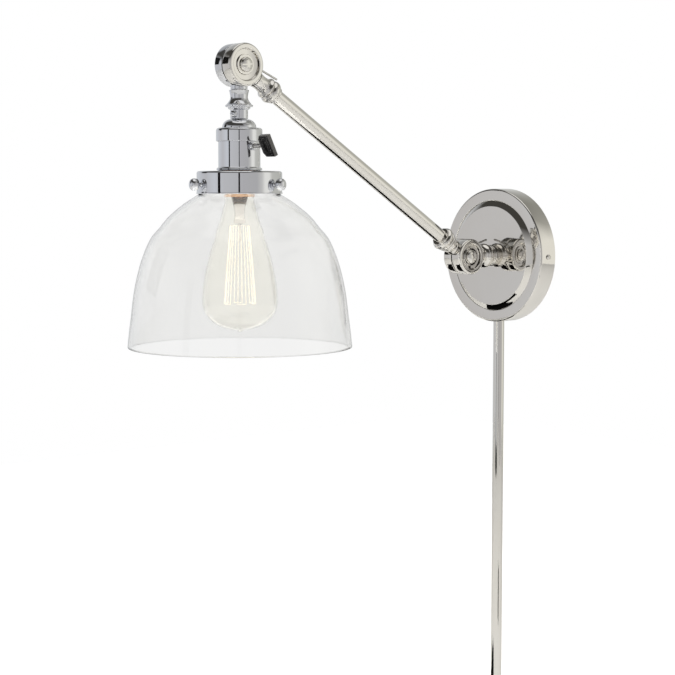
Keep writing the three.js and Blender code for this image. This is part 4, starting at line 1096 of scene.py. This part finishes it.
def makeHolder():
    s = holder
    top, bottom = levelOf("shade_holder", "top"), levelOf("shade_holder", "bottom")
    side, inside = s["radius"] - s["lip"], s["radius"] - s["sheet"]
    outline = ([(s["hole"], top), (s["hole"] + 3, top)]
        + bend(side - s["edge"], top + s["edge"], s["edge"], -90, 0, 8)
        + [(side, bottom - 2.2), (side + 0.1, bottom - 1.5)]
        + bend(s["radius"] - 0.5, bottom - 0.8, 0.5, -60, 90, 6)
        + [(inside, bottom - 0.3), (inside, top + s["sheet"] + 1), (inside - 1, top + s["sheet"]),
        (s["hole"], top + s["sheet"])])
    gallery = turnPiece("shadeHolder", outline, drop, 144)
    thumbLevel = belowPivot("thumb_screw_1")
    for angle in s["thumbAngles"]:
        carve(gallery, rodTool(2.0, s["radius"] - 4, s["radius"] + 3, radial(thumbLevel, angle), 32))
    smooth(gallery, 30)
    finishPiece(gallery, "head", "polished_nickel", nickelCoolLightTint, "shade_holder")
    foot = s["radius"] + s["standOff"]
    tip = s["tip"]
    threads = []
    for i in range(6):
        threads += [(s["shank"], tip + 0.6 + 0.8 * i), (s["shank"] - 0.25, tip + 1.0 + 0.8 * i)]
    knob = [(2.6, foot), (2.9, foot + 0.5)] + smoothLine([(3.3, foot + 0.7), (4.7, foot + 1.6),
        (s["knob"], foot + 3.6), (4.9, foot + 5.6), (3.9, foot + 7.0), (2.4, foot + 7.8)], 3)
    first = turnPiece("thumbScrew1", [(0, tip), (1.2, tip)] + threads + [(s["shank"], foot)] + knob
                      + [(1.2, foot + s["knobLength"]), (0, foot + s["knobLength"])],
                      radial(thumbLevel, s["thumbAngles"][0]), 48, ring=False)
    for i, angle in enumerate(s["thumbAngles"][1:], 2):
        spin = (Matrix.Translation(headPivot) @ Matrix.Rotation(math.radians(angle - s["thumbAngles"][0]),
            4, "Z") @ Matrix.Translation(-headPivot))
        twin = copyPiece(first, f"thumbScrew{i}", spin)
        finishPiece(twin, f"thumb_{i}", "polished_nickel", nickelCoolLightTint, f"thumb_screw_{i}")
    finishPiece(first, "thumb_1", "polished_nickel", nickelCoolLightTint, "thumb_screw_1")
    outer, inner = s["sleeve"], s["sleeve"] - s["sleeveWall"]
    threads = []
    for i in range(12):
        threads += [(outer, top + 1.0 + 1.2 * i), (outer - 0.35, top + 1.6 + 1.2 * i)]
    sleeve = turnPiece("socketSleeve", [(inner, top + 0.1), (outer - 0.3, top + 0.1)] + threads
        + [(outer - 0.3, top + s["sleeveLength"]), (inner, top + s["sleeveLength"])], drop, 80)
    finishPiece(sleeve, "head", "black_plastic", blackResin, "socket_sleeve")
    nutTop = levelOf("shade_ring_nut", "top")
    knurl = turnPiece("shadeRingNut", [(17.7, nutTop), (21.5, nutTop)]
        + bend(21.4, nutTop + 0.7, 0.7, -90, 0, 3) + [(22.1, nutTop + 1.6), (21.8, nutTop + 1.8),
        (22.1, nutTop + 2.0)] + bend(21.4, nutTop + 2.9, 0.7, 0, 90, 3) + [(17.7, nutTop + 3.6)], drop, 96)
    finishPiece(knurl, "head", "polished_nickel", nickelCoolLightTint, "shade_ring_nut")


makeStem()
makeKey(makeSocket())
makeHolder()
print("lamp head ready")


# Clear glass bowl shade, its wall measured down from the head pivot

shade = {
    "neck": 30.6, "lip": 32.8, "lipHeight": 3, "glass": 2.4, "rim": 95,
    # share of the rim's radius, and of the fall from the holder to the rim
    "shares": [
        (0.490, 0.060), (0.622, 0.140), (0.709, 0.216), (0.797, 0.297),
        (0.877, 0.440), (0.935, 0.612), (0.969, 0.797), (0.990, 0.921),
    ],
}


def makeShade():
    s = shade
    top, bottom = levelOf("glass_shade", "top"), levelOf("glass_shade", "bottom")
    under = levelOf("shade_holder", "bottom")
    fall = bottom - under
    line = smoothLine([(s["neck"], under - 4), (s["neck"] + 3, under - 0.8),
        (holder["radius"] + 0.6, under + 1.6)] + [(w * s["rim"], under + h * fall) for w, h in s["shares"]]
        + [(s["rim"], bottom - 1.3)], 6)
    normals = []
    for i in range(len(line)):
        a, b = Vector(line[max(i - 1, 0)]), Vector(line[min(i + 1, len(line) - 1)])
        along = (b - a).normalized()
        normals.append((-along.y, along.x))
    wall = [(p[0] + n[0] * s["glass"], p[1] + n[1] * s["glass"]) for p, n in zip(line, normals)]
    rimMiddle = s["rim"] - s["glass"] / 2
    rim = bend(rimMiddle, bottom - 1.2, 1.2, 0, 180, 10)
    outline = ([(s["lip"] - 0.5, top), (s["lip"], top + 0.5), (s["lip"], top + s["lipHeight"] - 0.9),
        (s["lip"] - 0.6, top + s["lipHeight"] - 0.2), (s["neck"], top + s["lipHeight"] + 0.2)] + line[:-1]
        + rim + wall[:-1][::-1] + [(s["neck"] - s["glass"], top + 3), (s["neck"] - s["glass"], top + 0.6),
        (s["neck"] - s["glass"] + 0.5, top)])
    bowl = turnPiece("glassBowl", outline, drop, 160, angle=40)
    finishPiece(bowl, "head", "clear_glass", shadeGlass, "glass_shade")


# Bulb with a hairpin filament

bulb = {
    "base": 13.1, "glass": 32, "length": 113, "widest": 0.775, "sheet": 0.8, "neck": 12.2, "neckHeight": 4,
    "flankSteps": 16, "endSteps": 12, "pins": 6, "cageTop": 8.0, "cageBottom": 13.2, "wire": 0.22,
    "cageStart": 134.6, "cageLength": 65.6, "pinSteps": 8,
}


def makeBulb():
    s = bulb
    top = levelOf("bulb_base", "top")
    tip = levelOf("bulb_glass", "bottom")
    start = levelOf("bulb_glass", "top")
    shoulder = start + s["neckHeight"]
    wide = shoulder + s["widest"] * s["length"]
    flank = [(s["neck"], start), (s["neck"], shoulder)]
    p0, p1, p2, p3 = (Vector(p) for p in (
        (s["neck"], shoulder), (s["neck"] + 2, shoulder + 0.16 * s["length"]),
        (s["glass"], wide - 0.3 * s["length"]), (s["glass"], wide)))
    for i in range(1, s["flankSteps"] + 1):
        t = i / s["flankSteps"]
        flank.append(tuple(p0 * (1 - t) ** 3 + p1 * 3 * t * (1 - t) ** 2 + p2 * 3 * t * t * (1 - t)
                           + p3 * t ** 3))
    end = tip - wide
    for i in range(1, s["endSteps"] + 1):
        a = math.pi / 2 * i / s["endSteps"]
        flank.append((s["glass"] * math.cos(a) ** 0.9 + 0.01, wide + (end - 1.6) * math.sin(a) ** 1.02))
    flank = flank[:-1] + [(3.2, tip - 1.7), (2.4, tip - 0.8), (1.2, tip - 0.15), (0, tip)]
    inner = [(max(r - s["sheet"], 0), h - s["sheet"] * max(0, (h - wide) / end)) for r,
        h in flank[:-1]] + [(0, tip - s["sheet"])]
    glass = turnPiece("bulbGlass", flank + inner[::-1] + [flank[0]], drop, 96, ring=False, angle=50)
    pick(glass)
    bpy.ops.object.mode_set(mode="EDIT")
    bpy.ops.mesh.select_all(action="SELECT")
    bpy.ops.mesh.delete_loose(use_verts=True, use_edges=True, use_faces=False)
    bpy.ops.object.mode_set(mode="OBJECT")
    finishPiece(glass, "head", "amber_glass", bulbGlass, "bulb_glass")
    grooves = []
    for i in range(5):
        grooves += [(s["base"], top + 4.4 + 3.4 * i), (s["base"] - 0.25, top + 5.0 + 3.4 * i),
            (s["base"] - 0.95, top + 6.1 + 3.4 * i), (s["base"] - 0.25, top + 7.2 + 3.4 * i)]
    base = turnPiece("bulbCap", [(s["base"] - 3.6, top + 0.6), (s["base"] - 3.6, top), (s["base"] - 3, top),
        (s["base"] - 1.2, top + 1.4), (s["base"] - 0.2, top + 3)] + grooves
        + [(s["base"], top + 21.4), (s["base"], top + 24.6), (s["base"] - 0.2, top + 25),
        (s["base"] - 0.5, top + 25), (s["base"] - 0.5, top + 22), (s["base"] - 1.6, top + 20),
        (s["base"] - 1.6, top + 4)], drop, 80)
    finishPiece(base, "head", "brass", copperBrass, "bulb_base")
    stemEnd = levelOf("bulb_glass_mount", "bottom") - 14
    pillar = turnPiece("bulbPillar", [(0, start + 0.4), (9.6, start + 0.4)]
        + smoothLine([(9.8, start + 0.8), (8.6, start + 3), (6.0, start + 7), (5.2, start + 11),
        (4.4, start + 16)], 4) + smoothLine([(4.3, stemEnd - 6), (5.2, stemEnd - 3.4), (4.6, stemEnd - 1),
        (2.2, stemEnd)], 4) + [(1.3, stemEnd + 0.4), (1.2, stemEnd + 13), (0.8, stemEnd + 13.8),
        (0, stemEnd + 14)], drop, 48, ring=False, angle=50)
    finishPiece(pillar, "head", "amber_glass", stemGlass, "bulb_glass_mount")


def makeWire(name, points, radius, place):
    deselectAll()
    bpy.ops.mesh.primitive_plane_add(size=2 * mm)
    wire = bpy.context.object
    wire.name = name
    bpy.ops.object.mode_set(mode="EDIT")
    bpy.ops.mesh.merge(type="CENTER")
    bpy.ops.transform.translate(value=Vector(points[0]) * mm)
    for a, b in zip(points, points[1:]):
        bpy.ops.mesh.extrude_region_move(TRANSFORM_OT_translate={"value": (Vector(b) - Vector(a)) * mm})
    bpy.ops.object.mode_set(mode="OBJECT")
    pick(wire)
    bpy.ops.object.convert(target="CURVE")
    wire = bpy.context.object
    wire.data.bevel_depth, wire.data.bevel_resolution, wire.data.use_fill_caps = radius * mm, 2, True
    bpy.ops.object.convert(target="MESH")
    wire = bpy.context.object
    bpy.ops.object.mode_set(mode="EDIT")
    bpy.ops.mesh.select_all(action="SELECT")
    bpy.ops.mesh.remove_doubles(threshold=2e-6)
    bpy.ops.mesh.normals_make_consistent(inside=False)
    bpy.ops.object.mode_set(mode="OBJECT")
    applyPlace(wire, place)
    smooth(wire, 60)
    return wire


def makeFilament():
    s = bulb
    points = []
    count = 2 * s["pins"]
    for i in range(count):
        a = 2 * math.pi * (i + 0.5) / count
        for k in range(s["pinSteps"] + 1):
            t = k / s["pinSteps"] if i % 2 == 0 else 1 - k / s["pinSteps"]
            r = (s["cageTop"] + (s["cageBottom"] - s["cageTop"]) * t) * (1 + 0.03 * math.sin(math.pi * t))
            points.append((r * math.cos(a), r * math.sin(a), s["cageStart"] + s["cageLength"] * t))
    finishPiece(makeWire("filament", points, s["wire"], drop), "head", "filament", glowWire,
        "bulb_filament")


makeShade()
makeBulb()
makeFilament()
print("glass and bulb ready")


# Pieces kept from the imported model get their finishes

keptFinishes = {
    "canopy_cable": cableJacket, "arm_cable": cableJacket,
    "hot_lead": cableJacket, "neutral_lead": cableJacket,
    "socket_liner": pressedFibre, "socket_body": porcelain,
    "socket_screw_shell": copperBrass, "socket_centre_contact": copperBrass,
    "hot_terminal_screw": copperBrass, "neutral_terminal_screw": copperBrass,
    "bulb_insulator": blackResin, "bulb_contact": pinSteel,
}
for node, material in keptFinishes.items():
    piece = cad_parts[node]
    piece.data.materials.clear()
    piece.data.materials.append(material)

deselectAll()
bpy.context.view_layer.update()
